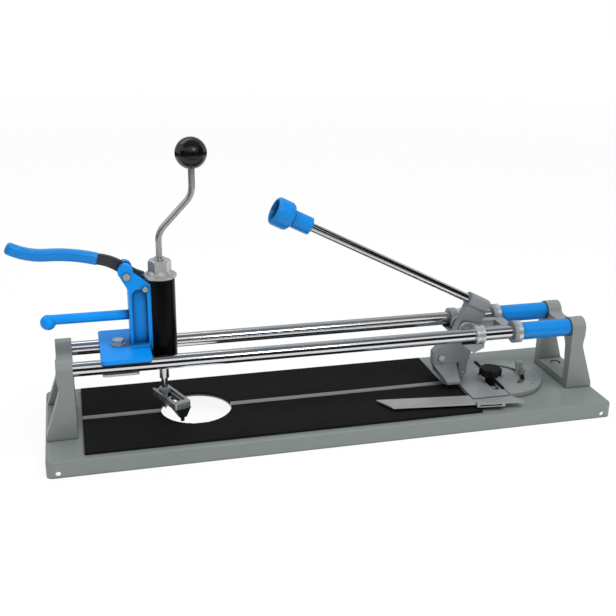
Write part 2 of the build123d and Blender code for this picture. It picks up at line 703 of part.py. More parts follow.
with BuildPart() as foot_screw:
    with BuildSketch(Plane.XZ):
        with Locations((foot_screw_x, foot_screw_z)):
            Circle(FOOT_SCREW / 2)
    extrude(amount=lever_side, both=True)
    with BuildSketch(Plane.XZ.offset(lever_side)):
        with Locations((foot_screw_x, foot_screw_z)):
            Circle(FOOT_SCREW_HEAD / 2)
    extrude(amount=FOOT_SCREW_HEAD_HEIGHT)
    fillet(foot_screw.faces().sort_by(Axis.Y)[0].edges(), FOOT_SCREW_HEAD_HEIGHT / 2)
keep(foot_screw, "foot_screw")

# Scoring wheel with a sharp rim, on its axle in the fork
with BuildPart() as scoring_wheel:
    with BuildSketch(Plane.XZ):
        with Locations((wheel_x, wheel_z)):
            Circle(WHEEL_DIAMETER / 2)
    extrude(amount=WHEEL_WIDTH / 2, both=True)
    chamfer(scoring_wheel.edges().filter_by(GeomType.CIRCLE), WHEEL_BEVEL)
    with BuildSketch(Plane.XZ):
        with Locations((wheel_x, wheel_z)):
            Circle(AXLE_DIAMETER / 2 + RUN)
    extrude(amount=WHEEL_WIDTH, both=True, mode=Mode.SUBTRACT)
keep(scoring_wheel, "scoring_wheel")

with BuildPart() as wheel_axle:
    with BuildSketch(Plane.XZ):
        with Locations((wheel_x, wheel_z)):
            Circle(AXLE_DIAMETER / 2)
    extrude(amount=fork_side + WHEEL_WIDTH / 2, both=True)
keep(wheel_axle, "wheel_axle")

# Handle: a chromed rod with a plastic cap
rod_start = SOCKET_FLOOR - SOCKET_LENGTH / 2
rod_end = HANDLE_LENGTH - CAP_DISH_DEPTH - CAP_CORE
with BuildPart() as handle_rod:
    with BuildSketch(handle_axis.offset(rod_start)):
        Circle(HANDLE_ROD / 2)
    extrude(amount=rod_end - rod_start)
keep(handle_rod, "handle_rod")

cap_start = HANDLE_LENGTH - CAP_LENGTH
bulb_start = HANDLE_LENGTH - CAP_BULB
cap_radius = CAP_DIAMETER / 2
shoulder = cap_radius - CAP_NECK / 2
cap_plane = Plane(handle_axis.origin, x_dir=handle_axis.z_dir, z_dir=(0, -1, 0))
with BuildPart() as handle_cap:
    with BuildSketch(cap_plane):
        with BuildLine():
            Polyline(
                (rod_end, 0),
                (rod_end, HANDLE_ROD / 2),
                (cap_start, HANDLE_ROD / 2),
                (cap_start, CAP_NECK / 2),
                (bulb_start, CAP_NECK / 2),
            )
            RadiusArc((bulb_start, CAP_NECK / 2), (bulb_start + shoulder, cap_radius), shoulder)
            Line((bulb_start + shoulder, cap_radius), (HANDLE_LENGTH - CAP_RIM, cap_radius))
            RadiusArc(
                (HANDLE_LENGTH - CAP_RIM, cap_radius), (HANDLE_LENGTH, cap_radius - CAP_RIM), CAP_RIM
            )
            Line((HANDLE_LENGTH, cap_radius - CAP_RIM), (HANDLE_LENGTH, CAP_DISH / 2))
            Line((HANDLE_LENGTH, CAP_DISH / 2), (HANDLE_LENGTH - CAP_DISH_DEPTH, CAP_DISH_FLOOR / 2))
            Line((HANDLE_LENGTH - CAP_DISH_DEPTH, CAP_DISH_FLOOR / 2), (HANDLE_LENGTH - CAP_DISH_DEPTH, 0))
            Line((HANDLE_LENGTH - CAP_DISH_DEPTH, 0), (rod_end, 0))
        make_face()
    revolve(axis=Axis(handle_axis.origin, handle_axis.z_dir))
keep(handle_cap, "handle_cap")

# Angle stop: a half disc with an arc slot, and a tongue that carries the fence
angle_low = base_top + TOUCH
angle_high = angle_low + ANGLE_THICKNESS
tongue_high = angle_low + TONGUE_THICKNESS
fence_right = angle_x - ANGLE_CHORD - FENCE_GAP
knob_x = fence_right - FENCE_FLANGE / 2
ruler_z = angle_high + AIR
ruler_high = ruler_z + RULER_THICKNESS
with BuildPart() as angle_plate:
    with BuildSketch(Plane.XY.offset(angle_low)):
        with Locations((angle_x, 0)):
            Circle(ANGLE_RADIUS)
        with Locations((angle_x - ANGLE_CHORD - ANGLE_RADIUS, 0)):
            Rectangle(2 * ANGLE_RADIUS, 2 * ANGLE_RADIUS, mode=Mode.SUBTRACT)
    extrude(amount=ANGLE_THICKNESS)
    with BuildSketch(Plane.XY.offset(angle_low)):
        with Locations((angle_x - TONGUE_LENGTH / 2, 0)):
            Rectangle(TONGUE_LENGTH, TONGUE_WIDTH)
    extrude(amount=TONGUE_THICKNESS)
    with BuildSketch(Plane.XY.offset(angle_low)):
        with Locations((angle_x, 0)):
            Circle(ANGLE_PIN / 2 + RUN)
        with Locations((knob_x, -KNOB_Y)):
            Circle(KNOB_STUD / 2 + RUN)
        with Locations((fence_right + FENCE_GAP / 2, 0)):
            Rectangle(FENCE_GAP, TONGUE_WIDTH - 2 * GAP_BRIDGE)
        with BuildLine(mode=Mode.PRIVATE) as slot_line:
            CenterArc((angle_x, 0), CLAMP_RADIUS, CLAMP_SLOT_LOW, CLAMP_SLOT_HIGH - CLAMP_SLOT_LOW)
        SlotArc(slot_line.edge(), CLAMP_SLOT)
    extrude(amount=ANGLE_THICKNESS, mode=Mode.SUBTRACT)
keep(angle_plate, "angle_plate")

with BuildPart() as angle_pivot_pin:
    with Locations((angle_x, 0, base_top - BASE_SHEET)):
        Cylinder(ANGLE_PIN / 2, BASE_SHEET + TOUCH + ANGLE_THICKNESS + TOUCH, align=STAND)
    with Locations((angle_x, 0, angle_high + TOUCH)):
        Cylinder(ANGLE_PIN_HEAD / 2, ANGLE_PIN_HEAD_HEIGHT, align=STAND)
    fillet(angle_pivot_pin.faces().sort_by(Axis.Z)[-1].edges(), ANGLE_PIN_HEAD_HEIGHT / 2)
keep(angle_pivot_pin, "angle_pivot_pin")

# Clamp stud through the arc slot, with a wing nut on it
stud_x = angle_x + CLAMP_RADIUS
nut_z = angle_high + TOUCH
with BuildPart() as angle_clamp_bolt:
    with Locations((stud_x, 0, base_top - BASE_SHEET)):
        Cylinder(CLAMP_STUD / 2, BASE_SHEET + TOUCH + ANGLE_THICKNESS + CLAMP_STUD_HEIGHT, align=STAND)
    with BuildSketch(Plane.XY.offset(base_top - BASE_SHEET)):
        with Locations((stud_x, 0)):
            RegularPolygon(POST_BOLT_HEAD / 2, 6, major_radius=False)
    extrude(amount=-POST_BOLT_HEAD_HEIGHT)
keep(angle_clamp_bolt, "angle_clamp_bolt")

with BuildPart() as angle_wing_nut:
    with Locations((stud_x, 0, nut_z)):
        Cone(WING_HUB / 2, WING_HUB / 3, WING_HUB_HEIGHT, align=STAND)
    with BuildSketch(Plane.YZ.offset(stud_x)):
        with BuildLine():
            Polyline(
                (0, nut_z + WING_ROOT),
                (WING_SPAN / 3, nut_z + WING_HUB_HEIGHT / 3),
                (WING_SPAN / 2, nut_z + WING_HEIGHT - WING_THICKNESS),
                (WING_SPAN / 2 - WING_THICKNESS, nut_z + WING_HEIGHT),
                (WING_SPAN / 4, nut_z + WING_HEIGHT - WING_THICKNESS),
                (0, nut_z + WING_HUB_HEIGHT - WING_THICKNESS),
                close=True,
            )
        make_face()
        mirror(about=Plane.YZ)
    extrude(amount=WING_THICKNESS / 2, both=True)
    with Locations((stud_x, 0, nut_z)):
        Cylinder(CLAMP_STUD / 2 + RUN, WING_HEIGHT, align=STAND, mode=Mode.SUBTRACT)
keep(angle_wing_nut, "angle_wing_nut")

# Fence arm: a plate that laps over the ruler, with a slotted flange on the tongue
fence_low = tongue_high + TOUCH
fence_high = fence_low + FENCE_THICKNESS
flange_high = fence_low + FENCE_FLANGE_THICKNESS
lip_low = ruler_high + AIR
fence_left = fence_right - FENCE_WIDTH
fence_mid = (fence_left + fence_right) / 2
fence_span = FENCE_FRONT + FENCE_REAR
with BuildPart() as fence_arm:
    with BuildSketch(Plane.XY.offset(fence_low)):
        with Locations((fence_mid, (FENCE_REAR - FENCE_FRONT) / 2)):
            RectangleRounded(FENCE_WIDTH, fence_span, FENCE_THICKNESS / 2)
    extrude(amount=FENCE_THICKNESS)
    with BuildSketch(Plane.XY.offset(flange_high)):
        with Locations((knob_x, 0)):
            Rectangle(FENCE_FLANGE, 2 * fence_span)
    extrude(amount=FENCE_THICKNESS, mode=Mode.SUBTRACT)
    with BuildSketch(Plane.XY.offset(lip_low)):
        with Locations((fence_mid, -FENCE_FRONT)):
            Rectangle(FENCE_WIDTH, 2 * (RULER_SETOFF + FENCE_LIP))
        with Locations((knob_x, 0)):
            Rectangle(FENCE_FLANGE, 2 * FENCE_FRONT, mode=Mode.SUBTRACT)
    extrude(amount=fence_high - lip_low)
    with BuildSketch(Plane.XY.offset(fence_low)):
        with Locations((knob_x, (FENCE_SLOT_REAR - FENCE_SLOT_FRONT) / 2)):
            SlotOverall(FENCE_SLOT_FRONT + FENCE_SLOT_REAR, FENCE_SLOT, rotation=90)
    extrude(amount=FENCE_THICKNESS, mode=Mode.SUBTRACT)
keep(fence_arm, "fence_arm")

# Star knob with its stud through the fence's slot into the tongue
knob_z = flange_high + AIR
with BuildPart() as fence_knob:
    with Locations((knob_x, -KNOB_Y, knob_z + KNOB_STEM_HEIGHT)):
        Cylinder(KNOB_DIAMETER / 2, KNOB_HEIGHT, align=STAND)
    chamfer(fence_knob.faces().sort_by(Axis.Z)[-1].edges(), KNOB_CHAMFER)
    with Locations((knob_x, -KNOB_Y, knob_z + KNOB_STEM_HEIGHT)):
        with PolarLocations(KNOB_DIAMETER / 2 + KNOB_LOBE / 4, KNOB_LOBES):
            Cylinder(KNOB_LOBE / 2, KNOB_HEIGHT, align=STAND, mode=Mode.SUBTRACT)
    with Locations((knob_x, -KNOB_Y, knob_z)):
        Cylinder(KNOB_STEM / 2, KNOB_STEM_HEIGHT, align=STAND)
    with Locations((knob_x, -KNOB_Y, base_top + 2 * TOUCH)):
        Cylinder(KNOB_STUD / 2, knob_z - base_top, align=STAND)
keep(fence_knob, "fence_knob")

# Ruler in front of the fence, with slanted ends and a bevelled front edge
ruler_plane = Plane(
    (fence_mid, -FENCE_FRONT - RULER_SETOFF, ruler_z),
    x_dir=(cos(radians(RULER_ANGLE)), -sin(radians(RULER_ANGLE)), 0),
    z_dir=(0, 0, 1),
)
ruler_right = RULER_LENGTH - RULER_LEFT
with BuildPart() as ruler:
    with BuildSketch(ruler_plane):
        with BuildLine():
            Polyline(
                (-RULER_LEFT, 0),
                (RULER_SHOULDER, 0),
                (ruler_right, RULER_TIP - RULER_WIDTH),
                (ruler_right, -RULER_WIDTH),
                (RULER_NOTCH - RULER_LEFT, -RULER_WIDTH),
                close=True,
            )
        make_face()
    extrude(amount=RULER_THICKNESS)
    top_edges = ruler.faces().sort_by(Axis.Z)[-1].edges()
    long_edges = top_edges.filter_by(Axis(ruler_plane.origin, ruler_plane.x_dir))
    chamfer(long_edges.sort_by(Axis.Y)[0], RULER_BEVEL, 3 * RULER_BEVEL)
keep(ruler, "ruler")

# Clip on the fence's front end that folds round the ruler, with a window along its front
clip_front = -RULER_WIDTH - CLIP_PLAY
clip_low = ruler_z - TOUCH - CLIP_SHEET
clip_high = ruler_high + TOUCH + CLIP_SHEET
clip_origin = ruler_plane.origin - ruler_plane.x_dir * CLIP_OFFSET
with BuildPart() as ruler_clip:
    with BuildSketch(Plane(clip_origin, x_dir=ruler_plane.y_dir, z_dir=ruler_plane.x_dir)):
        with BuildLine():
            Polyline(
                (2 * RULER_SETOFF, clip_low - ruler_z),
                (clip_front - CLIP_SHEET, clip_low - ruler_z),
                (clip_front - CLIP_SHEET, clip_high - ruler_z),
                (clip_front + CLIP_LIP, clip_high - ruler_z),
                (clip_front + CLIP_LIP, clip_high - ruler_z - CLIP_SHEET),
                (clip_front, clip_high - ruler_z - CLIP_SHEET),
                (clip_front, clip_low - ruler_z + CLIP_SHEET),
                (2 * RULER_SETOFF, clip_low - ruler_z + CLIP_SHEET),
                close=True,
            )
        make_face()
    extrude(amount=CLIP_LENGTH / 2, both=True)
    with Locations((fence_mid, fence_span - FENCE_FRONT, ruler_z)):
        Box(2 * FENCE_WIDTH, 2 * fence_span, 2 * CLIP_LENGTH, mode=Mode.SUBTRACT)
    with BuildSketch(Plane(clip_origin, x_dir=ruler_plane.x_dir, z_dir=-ruler_plane.y_dir)):
        with Locations((0, (clip_low + clip_high) / 2 - ruler_z)):
            Rectangle(CLIP_WINDOW, clip_high - clip_low - 2 * CLIP_SHEET)
    extrude(amount=CLIP_SHEET - clip_front, mode=Mode.SUBTRACT)
keep(ruler_clip, "ruler_clip")

# Hole cutter's bracket: a plate on the rails, a panelled column and a forked head
plate_low = rail_z + rail_radius + AIR
plate_high = plate_low + PLATE_THICKNESS
housing_radius = HOUSING_DIAMETER / 2
housing_low = rail_z - HOUSING_LOW
housing_high = housing_low + HOUSING_HEIGHT
washer_low = housing_high + WASHER_RISE
washer_high = washer_low + WASHER_THICKNESS
pin_x = spindle_x - LEVER_PIN_REACH
pin_z = washer_low + LEVER_PIN_RISE
column_left = spindle_x - COLUMN_FAR
column_right = spindle_x - COLUMN_NEAR
column_side = COLUMN_WIDTH / 2
clamp_x = spindle_x - CLAMP_BOLT_X
screw_x = spindle_x - HOUSING_SCREW_X
screw_z = housing_high - HOUSING_SCREW_DROP
handle_z = plate_high + LOWER_HANDLE_Z
panel_low = plate_high + COLUMN_FOOT
panel_high = pin_z - PANEL_TOP
with BuildPart() as hole_bracket:
    with BuildSketch(Plane.XY.offset(plate_low)):
        with Locations((spindle_x - (PLATE_FAR + PLATE_NEAR) / 2, 0)):
            RectangleRounded(PLATE_FAR - PLATE_NEAR, RAIL_SPACING + 2 * PLATE_OVERHANG, PLATE_ROUND)
    extrude(amount=PLATE_THICKNESS)
    with BuildSketch(Plane.XZ):
        with BuildLine():
            Polyline(
                (pin_x + HEAD_RADIUS, pin_z + HEAD_RADIUS / 2),
                (column_right, housing_high - WASHER_RISE),
                (column_right, plate_low),
                (column_left, plate_low),
                (column_left, pin_z - NECK_DROP),
                (pin_x - HEAD_RADIUS, pin_z),
            )
            ThreePointArc(
                (pin_x - HEAD_RADIUS, pin_z),
                (pin_x, pin_z + HEAD_RISE),
                (pin_x + HEAD_RADIUS, pin_z + HEAD_RADIUS / 2),
            )
        make_face()
    extrude(amount=column_side, both=True)
    foot_edges = hole_bracket.edges().filter_by(lambda e: abs(e.center().Z - plate_high) < AIR)
    foot_edges = foot_edges.filter_by(lambda e: abs(e.center().Y) < column_side + AIR)
    fillet(foot_edges.filter_by(lambda e: clamp_x < e.center().X < column_right), COLUMN_FILLET)
    with BuildSketch(Plane.XZ.offset(column_side)) as front_panel:
        with Locations((column_left + PANEL_RIB + PANEL_WIDTH / 2, (panel_low + panel_high) / 2)):
            Rectangle(PANEL_WIDTH, panel_high - panel_low)
        fillet(front_panel.vertices().group_by(Axis.Y)[-1], PANEL_WIDTH / 2 - AIR)
    extrude(amount=-PANEL_DEPTH, mode=Mode.SUBTRACT)
    mirror(about=Plane.XZ, mode=Mode.INTERSECT)
    with BuildSketch(Plane.XZ):
        with Locations((pin_x, pin_z - LEVER_SLOT_DROP + 2 * HEAD_RISE)):
            Rectangle(2 * COLUMN_FAR, 4 * HEAD_RISE)
    extrude(amount=STRAP_THICKNESS / 2 + LEVER_SLOT_GAP, both=True, mode=Mode.SUBTRACT)
    with Locations((spindle_x, 0, housing_low)):
        Cylinder(housing_radius + RUN, 2 * HOUSING_HEIGHT, align=STAND, mode=Mode.SUBTRACT)
    with BuildSketch(Plane.XZ):
        with Locations((pin_x, pin_z)):
            Circle(LEVER_PIN / 2)
    extrude(amount=COLUMN_WIDTH, both=True, mode=Mode.SUBTRACT)
    with BuildSketch(Plane.XZ.offset(column_side)):
        with Locations((screw_x, screw_z)):
            Circle(HOUSING_SCREW / 2)
    extrude(amount=-HOUSING_SCREW_LENGTH, mode=Mode.SUBTRACT)
    with BuildSketch(Plane.YZ.offset(column_left)):
        with Locations((0, handle_z)):
            Circle(LOWER_HANDLE_TANG / 2)
    extrude(amount=LOWER_HANDLE_TANG, mode=Mode.SUBTRACT)
    with Locations((clamp_x, 0, plate_low)):
        Cylinder(CLAMP_BOLT / 2, PLATE_THICKNESS, align=STAND, mode=Mode.SUBTRACT)
keep(hole_bracket, "hole_bracket")

# Clamp under the rails that holds the bracket where it is set
clamp_high = rail_z - rail_radius - AIR
clamp_low = clamp_high - CLAMP_PLATE_THICKNESS
with BuildPart() as clamp_plate:
    with BuildSketch(Plane.XY.offset(clamp_low)):
        with Locations((clamp_x, 0)):
            RectangleRounded(CLAMP_PLATE_LENGTH, CLAMP_PLATE_WIDTH, PLATE_ROUND)
            Circle(CLAMP_BOLT / 2, mode=Mode.SUBTRACT)
    extrude(amount=CLAMP_PLATE_THICKNESS)
keep(clamp_plate, "clamp_plate")

with BuildPart() as clamp_bolt:
    with Locations((clamp_x, 0, clamp_low - CLAMP_NUT_HEIGHT)):
        Cylinder(CLAMP_BOLT / 2, plate_high - clamp_low + CLAMP_NUT_HEIGHT, align=STAND)
    with Locations((clamp_x, 0, plate_high)):
        Cylinder(CLAMP_WASHER / 2, CLAMP_WASHER_THICKNESS, align=STAND)
    with BuildSketch(Plane.XY.offset(plate_high + CLAMP_WASHER_THICKNESS)):
        with Locations((clamp_x, 0)):
            RegularPolygon(CLAMP_HEAD / 2, 6, major_radius=False)
    extrude(amount=CLAMP_HEAD_HEIGHT)
keep(clamp_bolt, "clamp_bolt")

with BuildPart() as clamp_nut:
    with BuildSketch(Plane.XY.offset(clamp_low)):
        with Locations((clamp_x, 0)):
            RegularPolygon(CLAMP_HEAD / 2, 6, major_radius=False)
            Circle(CLAMP_BOLT / 2, mode=Mode.SUBTRACT)
    extrude(amount=-CLAMP_NUT_HEIGHT)
keep(clamp_nut, "clamp_nut")

# Spring housing: a closed tube with a guide bush at its foot
spindle_radius = SPINDLE_DIAMETER / 2
cap_low = housing_high - HOUSING_CAP
with BuildPart() as spring_housing:
    with Locations((spindle_x, 0, housing_low)):
        Cylinder(housing_radius, HOUSING_HEIGHT, align=STAND)
        Cylinder(housing_radius - HOUSING_WALL, HOUSING_HEIGHT - HOUSING_CAP, align=STAND, mode=Mode.SUBTRACT)
        Cylinder(spindle_radius + RUN, HOUSING_HEIGHT, align=STAND, mode=Mode.SUBTRACT)
keep(spring_housing, "spring_housing")

with BuildPart() as housing_bush:
    with Locations((spindle_x, 0, housing_low)):
        Cylinder(housing_radius - HOUSING_WALL, BUSH_HEIGHT, align=STAND)
        Cylinder(spindle_radius + RUN, BUSH_HEIGHT, align=STAND, mode=Mode.SUBTRACT)
keep(housing_bush, "housing_bush")

with BuildPart() as housing_screw:
    with BuildSketch(Plane.XZ.offset(column_side)):
        with Locations((screw_x, screw_z)):
            Circle(HOUSING_SCREW / 2)
    extrude(amount=-HOUSING_SCREW_LENGTH)
    with BuildSketch(Plane.XZ.offset(column_side)):
        with Locations((screw_x, screw_z)):
            Circle(HOUSING_SCREW_HEAD / 2)
    extrude(amount=HOUSING_SCREW_HEAD_HEIGHT)
    fillet(housing_screw.faces().sort_by(Axis.Y)[0].edges(), HOUSING_SCREW_HEAD_HEIGHT / 3)
keep(housing_screw, "housing_screw")

# Spindle with its collar; the spring inside the housing pushes the collar down
arm_low = base_top + ARM_HEIGHT
arm_high = arm_low + ARM_THICKNESS
channel_z = arm_high - ARM_CHANNEL_DEPTH
arm_nut_z = channel_z + TOUCH
neck_low = arm_nut_z + ARM_NUT_HEIGHT
stud_low = arm_low - PILOT_COLLAR_HEIGHT / 2
collar_low = housing_low + BUSH_HEIGHT + COLLAR_GAP
collar_high = collar_low + COLLAR_HEIGHT
nut_high = washer_high + TOUCH + NUT_HEIGHT
spindle_high = nut_high + SPINDLE_TIP
with BuildPart() as spindle:
    with Locations((spindle_x, 0, stud_low)):
        Cylinder(SPINDLE_STUD / 2, neck_low - stud_low, align=STAND)
    with Locations((spindle_x, 0, neck_low)):
        Cylinder(SPINDLE_NECK / 2, SPINDLE_NECK_LENGTH, align=STAND)
    with Locations((spindle_x, 0, neck_low + SPINDLE_NECK_LENGTH)):
        Cylinder(spindle_radius, spindle_high - neck_low - SPINDLE_NECK_LENGTH, align=STAND)
    with Locations((spindle_x, 0, collar_low)):
        Cylinder(SPINDLE_COLLAR / 2, COLLAR_HEIGHT, align=STAND)
    with Locations((spindle_x, 0, spindle_high)):
        Cylinder(CRANK_ROD / 2, 2 * CRANK_SOCKET, mode=Mode.SUBTRACT)
keep(spindle, "spindle")

with BuildPart() as spindle_spring:
    with Locations((spindle_x, 0, collar_high + AIR)):
        Cylinder(SPRING_DIAMETER / 2, cap_low - collar_high - AIR, align=STAND)
        Cylinder(
            SPRING_DIAMETER / 2 - SPRING_WALL, cap_low - collar_high - AIR, align=STAND, mode=Mode.SUBTRACT
        )
keep(spindle_spring, "spindle_spring")

# Washer that the squeeze lever lifts, and the skirted hexagon nut on it
with BuildPart() as spindle_washer:
    with Locations((spindle_x, 0, washer_low)):
        Cylinder(WASHER_DIAMETER / 2, WASHER_THICKNESS, align=STAND)
    chamfer(spindle_washer.faces().sort_by(Axis.Z)[-1].edges(), WASHER_THICKNESS / 4)
    with Locations((spindle_x, 0, washer_low)):
        Cylinder(spindle_radius + RUN, WASHER_THICKNESS, align=STAND, mode=Mode.SUBTRACT)
keep(spindle_washer, "spindle_washer")

with BuildPart() as spindle_nut:
    with Locations((spindle_x, 0, washer_high + TOUCH)):
        Cylinder(NUT_ACROSS / 2 / cos(radians(30)), NUT_HEIGHT, align=STAND)
    chamfer(spindle_nut.faces().sort_by(Axis.Z)[-1].edges(), NUT_CHAMFER)
    with BuildSketch(Plane.XY.offset(washer_high + TOUCH)):
        with Locations((spindle_x, 0)):
            RegularPolygon(NUT_ACROSS / 2, 6, major_radius=False)
    extrude(amount=NUT_HEIGHT, mode=Mode.INTERSECT)
    with Locations((spindle_x, 0, washer_high + TOUCH)):
        Cone(NUT_SKIRT / 2, NUT_ACROSS / 2, NUT_SKIRT_HEIGHT, align=STAND)
        Cylinder(spindle_radius, NUT_HEIGHT, align=STAND, mode=Mode.SUBTRACT)
keep(spindle_nut, "spindle_nut")

# Crank: a bent rod with a ball knob
crank_low = spindle_high - CRANK_SOCKET
crank_foot = spindle_high + CRANK_FOOT
crank_shoulder = crank_foot + CRANK_RISE
crank_high = crank_shoulder + CRANK_GRIP
crank_x = spindle_x + CRANK_THROW
with BuildPart() as crank_rod:
    with BuildLine(Plane.XZ) as crank_path:
        FilletPolyline(
            (spindle_x, crank_low),
            (spindle_x, crank_foot),
            (crank_x, crank_shoulder),
            (crank_x, crank_high + KNOB_SOCKET),
            radius=CRANK_BEND,
        )
    with BuildSketch(Plane((spindle_x, 0, crank_low))):
        Circle(CRANK_ROD / 2)
    sweep(path=crank_path.wire())
keep(crank_rod, "crank_rod")

ball_radius = KNOB_BALL / 2
with BuildPart() as crank_knob:
    with Locations((crank_x, 0, crank_high + KNOB_SEAT)):
        Sphere(ball_radius)
    with Locations((crank_x, 0, crank_high)):
        Cylinder(ball_radius, ball_radius, align=(Align.CENTER, Align.CENTER, Align.MAX), mode=Mode.SUBTRACT)
        Cylinder(CRANK_ROD / 2, KNOB_SOCKET, align=STAND, mode=Mode.SUBTRACT)
keep(crank_knob, "crank_knob")

# Cutter arm under the spindle: a slotted channel with the carbide holder at its end
with BuildPart() as arm_nut:
    with BuildSketch(Plane.XY.offset(arm_nut_z)):
        with Locations((spindle_x, 0)):
            RegularPolygon(ARM_NUT / 2, 6, major_radius=False, rotation=ARM_BEARING)
            Circle(SPINDLE_STUD / 2, mode=Mode.SUBTRACT)
    extrude(amount=ARM_NUT_HEIGHT)
keep(arm_nut, "arm_nut")

pilot_high = arm_low - TOUCH
pilot_low = pilot_high - PILOT_COLLAR_HEIGHT
with BuildPart() as pilot_drill:
    with Locations((spindle_x, 0, pilot_low)):
        Cylinder(PILOT_COLLAR / 2, PILOT_COLLAR_HEIGHT, align=STAND)
    with Locations((spindle_x, 0, pilot_low - PILOT_LENGTH + PILOT_POINT)):
        Cylinder(PILOT_DRILL / 2, PILOT_LENGTH - PILOT_POINT, align=STAND)
    with Locations((spindle_x, 0, pilot_low - PILOT_LENGTH)):
        Cone(PILOT_FLAT / 2, PILOT_DRILL / 2, PILOT_POINT, align=STAND)
    with Locations((spindle_x, 0, stud_low)):
        Cylinder(SPINDLE_STUD / 2, PILOT_COLLAR_HEIGHT, align=STAND, mode=Mode.SUBTRACT)
keep(pilot_drill, "pilot_drill")

arm_plane = Plane(
    (spindle_x, 0, arm_low), x_dir=(cos(radians(ARM_BEARING)), sin(radians(ARM_BEARING)), 0), z_dir=(0, 0, 1)
)
arm_mid = (ARM_REACH - ARM_TAIL) / 2
slot_start = ARM_SLOT / 2 - ARM_TAIL
with BuildPart() as cutter_arm:
    with BuildSketch(arm_plane):
        with Locations((arm_mid, 0)):
            RectangleRounded(ARM_REACH + ARM_TAIL, ARM_WIDTH, ARM_SLOT / 3)
    extrude(amount=ARM_THICKNESS)
    with BuildSketch(arm_plane.offset(ARM_THICKNESS)):
        with Locations((arm_mid - ARM_SLOT, 0)):
            Rectangle(ARM_REACH + ARM_TAIL, ARM_CHANNEL)
    extrude(amount=-ARM_CHANNEL_DEPTH, mode=Mode.SUBTRACT)
    with BuildSketch(arm_plane):
        with Locations(((slot_start + ARM_SLOT_END) / 2, 0)):
            SlotOverall(ARM_SLOT_END - slot_start, ARM_SLOT)
    extrude(amount=ARM_THICKNESS, mode=Mode.SUBTRACT)
keep(cutter_arm, "cutter_arm")

with BuildPart() as cutter_holder:
    with BuildSketch(arm_plane):
        with Locations((ARM_REACH - HOLDER_LENGTH / 2, 0)):
            Rectangle(HOLDER_LENGTH, HOLDER_WIDTH)
    with BuildSketch(arm_plane.offset(-HOLDER_HEIGHT)):
        with Locations((ARM_REACH - HOLDER_TIP_LENGTH / 2, 0)):
            Rectangle(HOLDER_TIP_LENGTH, HOLDER_TIP_WIDTH)
    loft()
keep(cutter_holder, "cutter_holder")

with BuildPart() as cutter_tip:
    with BuildSketch(arm_plane.offset(-HOLDER_HEIGHT)):
        with Locations((ARM_REACH - HOLDER_TIP_LENGTH / 2, 0)):
            Rectangle(TIP_WIDTH, TIP_WIDTH)
    with BuildSketch(arm_plane.offset(-HOLDER_HEIGHT - TIP_HEIGHT)):
        with Locations((ARM_REACH - HOLDER_TIP_LENGTH / 2, 0)):
            Rectangle(TIP_WIDTH / 2, TIP_WIDTH)
    loft()
keep(cutter_tip, "cutter_tip")

# Squeeze lever: a bent strap whose jaw grips the washer's rim
rim_x = spindle_x - WASHER_DIAMETER / 2
jaw_tip = rim_x + JAW_LAP
jaw_root = rim_x - JAW_ROOT
jaw_high = washer_high + JAW_GAP
jaw_low = washer_low - JAW_GAP
strap_x = pin_x - STRAP_REACH
strap_z = pin_z + STRAP_RISE
strap_half = STRAP_HEIGHT / 2
with BuildPart() as lever_grip:
    with BuildLine(Plane.XZ) as grip_spine:
        grip_crown = ThreePointArc(
            (strap_x, strap_z),
            (strap_x - GRIP_SPAN / 2, strap_z + GRIP_RISE / 2 + GRIP_CROWN),
            (strap_x - GRIP_SPAN, strap_z + GRIP_RISE),
        )
        TangentArc(
            grip_crown @ 1,
            (strap_x - GRIP_SPAN - GRIP_TAIL, strap_z + GRIP_RISE + GRIP_TAIL_RISE),
            tangent=grip_crown % 1,
        )
    grip_end = Plane(grip_crown @ 0, x_dir=(0, 1, 0), z_dir=grip_crown % 0)
    with BuildSketch(grip_end):
        RectangleRounded(GRIP_WIDTH, GRIP_HEIGHT, GRIP_ROUND)
    sweep(path=grip_spine.wire())
    fillet(lever_grip.faces().sort_by(Axis.X)[0].edges(), GRIP_END_ROUND)
    with BuildSketch(grip_end):
        Rectangle(STRAP_THICKNESS, TANG_HEIGHT)
    extrude(amount=TANG_LENGTH, mode=Mode.SUBTRACT)
keep(lever_grip, "lever_grip")

